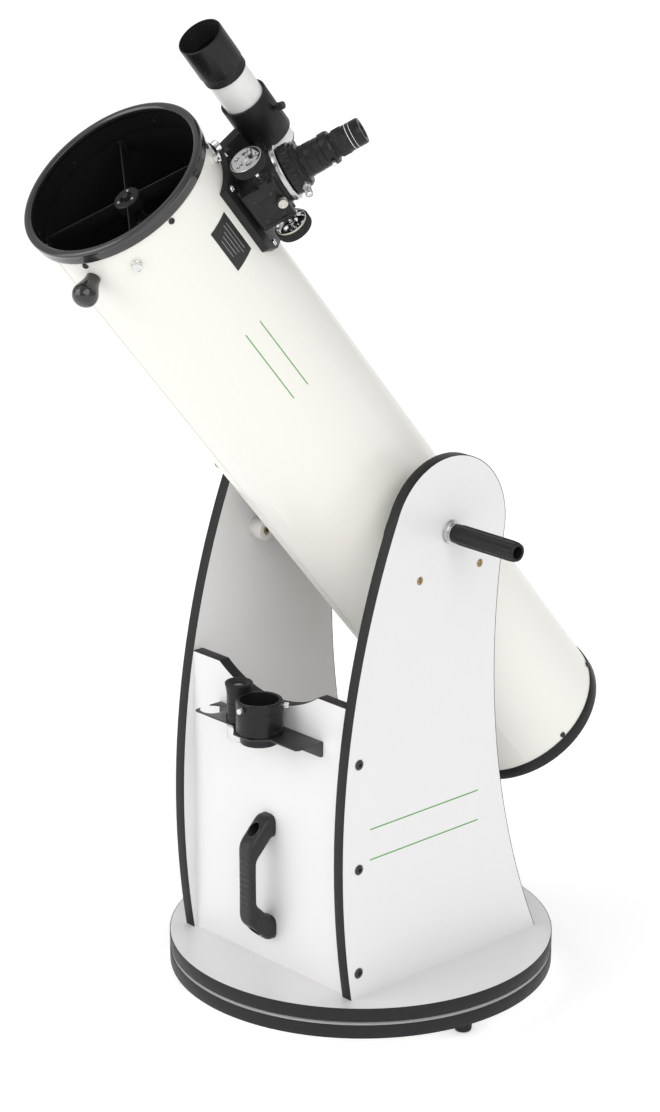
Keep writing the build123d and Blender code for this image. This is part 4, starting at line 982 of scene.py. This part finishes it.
lines = Piece("sideboard_rules", ROCKER, "melamine_white", "print_green")
for height in (230, 188):
    rule_place = side_place(1, side_outer, 0, board_top + height)
    lines.prism(rule_place, rectangle(-139, 57, rule_half), 0.01, 0.1, 0)
lines.done()

feet = Piece("rubber_feet", "ground", "rubber_black")
for angle in (-6, 114, 234):
    spot = level_place(foot_reach * cos(radians(angle)), axis_y + foot_reach * sin(radians(angle)), 0)
    profile = [(0, 4.5), (4.5, 4.5), (4.5, 0), (8.8, 0), (10.6, 1.0), (11.3, 2.6)]
    for index in range(5):
        base = 5 + index * 4.2
        profile += [(11.9, base), (11.4, base + 1.4), (11.4, base + 2.4), (12.0, base + 3.6)]
    feet.lathe(spot, profile + [(12.6, 27.2), (12.6, 28), (0, 28)], 64, 0.2)
feet.done("ground_feet")

for side, word in ((1, "right"), (-1, "left")):
    stem = Piece(f"tension_stud_{word}", f"handle_{word}", "steel_zinc", "steel_zinc", "nylon_white")
    start = side_outer + 0.3
    stem.lathe(side_place(side, 0), [
        (0, 128), (4.95, 128), (4.95, start), (15.6, start), (16, start + 0.3), (16, start + 1.7),
        (15.6, start + 2), (13.5, start + 2), (13.5, start + 4.7), (14.7, start + 4.7), (15, start + 5),
        (15, start + 6.4), (14.7, start + 6.7), (12.5, start + 6.7), (12.5, start + 9.7), (4.95, start + 9.7),
        (4.95, start + 89), (0, start + 89.5)], 96, 0.1)
    stem.repaint(side_place(side, 0), lambda radius, height: start + 2.05 < height < start + 4.65, 1)
    stem.done(f"tension_stem_{word}")
    grip = Piece(f"tension_grip_lobed_{word}", f"handle_{word}", "rubber_black")
    start = side_outer + 10
    grip.lathe(side_place(side, 0), [
        (4.95, start), (11.5, start), (12.5, start + 2), (12.6, start + 6), (12.9, start + 8),
        (13.5, start + 12), (13.5, start + 24), (13.5, start + 98), (12.8, start + 106), (11.4, start + 108),
        (8.4, start + 108), (8, start + 107), (8, start + 92), (4.95, start + 82)], 256, 0.5,
        flutes(8, 2.1, start + 9.5, start + 107.5, 11.0, -0.1))
    grip.done(f"tension_grip_{word}")

# -------------------- spares in the rack
rack_z = deck + 341
spare_at = level_place(-26.5, axis_y - 193, rack_z)
spare = Piece("spare_eyepiece_turned", "rack_eyepiece", "anodised_black", "anodised_black", "chrome_bright",
              "lens_glass", "rubber_black")
spare.lathe(spare_at, [
    (0, -26), (15.2, -26), (15.9, -25), (15.9, -6), (15.2, -5.4), (15.2, -3.4), (15.9, -2.8), (15.9, 0.1),
    (17, 0.1), (17, 0.8), (17, 9.6), (17, 10), (16, 11), (16, 26), (15.5, 26.3), (15.5, 27), (16, 27.3),
    (16, 38), (16.4, 41.5), (17, 45), (18.0, 49), (18.2, 50), (18.2, 51.6), (17.4, 52.5), (14, 52.5),
    (12, 51.4), (8.4, 49), (8, 47), (0, 47)], 144, 0.15, flutes(36, 0.45, 0.6, 9.8, 16.8))
spare.repaint(spare_at, lambda radius, height: height < 0.05, 1)
spare.repaint(spare_at, lambda radius, height: height > 38.2, 3)
spare.lathe(spare_at, [(0, 47.5), (7.9, 47.5), (7.9, 48.2), (4, 49.2), (0, 49.4)], 48, 0.1, material=2)
spare.done("spare_eyepiece")

adapter_x, adapter_y = 22, axis_y - 201
adapter_at = level_place(adapter_x, adapter_y, rack_z)
adapter = Piece("spare_adapter_turned", "rack_adapter", "anodised_black")
adapter.lathe(adapter_at, [
    (23.4, -14), (25.0, -14), (25.4, -13.4), (25.4, 0.1), (30, 0.1), (30.3, 1), (30.3, 6), (29.9, 6.4),
    (29.9, 7.4), (30.3, 7.8), (30.3, 29), (29.9, 29.4), (29.9, 30.4), (30.3, 30.8), (30.3, 43), (29.5, 44),
    (26, 44), (25.45, 43.4), (25.45, 6), (23.4, 4)], 144, 0.15)
adapter.done("spare_adapter")
adapter_outline = [
    (0, 25.6), (2.0, 25.6), (2.0, 32), (3.6, 32), (3.9, 32.7), (3.9, 37.9), (3.4, 38.6), (0, 38.6)]
for index, angle in ((1, -85), (2, 40)):
    outward = Vector((cos(radians(angle)), sin(radians(angle)), 0))
    seat = place(Vector((adapter_x, adapter_y, rack_z + 37)) * MM, outward, Vector((0, 0, 1)))
    thumbscrew(f"adapter_thumbscrew_{index}", f"adapter_lock_{index}", "chrome_bright",
               f"adapter_screw_{index}", seat, adapter_outline, 32.4, 38.2, 3.7, 24, 0.3)

# -------------------- mirror cell
cell_station, cell_reach = -478, 78


def coil(piece, matrix, radius, wire, low, high, turns):
    """Compression spring of round wire."""
    count, sides = turns * 28, 8
    rows = []
    for step in range(count + 1):
        angle = 2 * pi * turns * step / count
        lift = low + (high - low) * step / count
        row = []
        for side in range(sides):
            turn = 2 * pi * side / sides
            r = radius + wire * cos(turn)
            row.append(matrix @ Vector((r * cos(angle), r * sin(angle), lift + wire * sin(turn))))
        rows.append(row)
    piece.loft(rows)


refined("mirror_cell_casting", TUBE, "cast_black", "mirror_cell", 0.35)
refined("cell_lock_screw_heads", TUBE, "fastener_black", "cell_lock_screws", 0.35)
springs = Piece("cell_springs", TUBE, "steel_zinc")
nut_outline = [
    (0, -13), (3, -13), (3.4, -12.6), (8, -13), (9, -12), (9, -11.4), (9, -2.1), (9, -1.5), (8, -0.5),
    (2.95, -0.5), (2.95, 17), (0, 17)]
for index, angle in ((1, 90), (2, 210), (3, 330)):
    seat = place(pivot + (along * cell_station + out_from(angle) * cell_reach) * MM, along, right)
    coil(springs, seat, 5.6, 0.7, 4.8, 11.2, 3)
    thumbscrew(f"collimation_thumbnut_{index}", f"collimation_{index}", "fastener_black",
               f"collimation_knob_{index}", seat, nut_outline, -11.6, -1.9, 8.5, 24, 0.6)
springs.done()
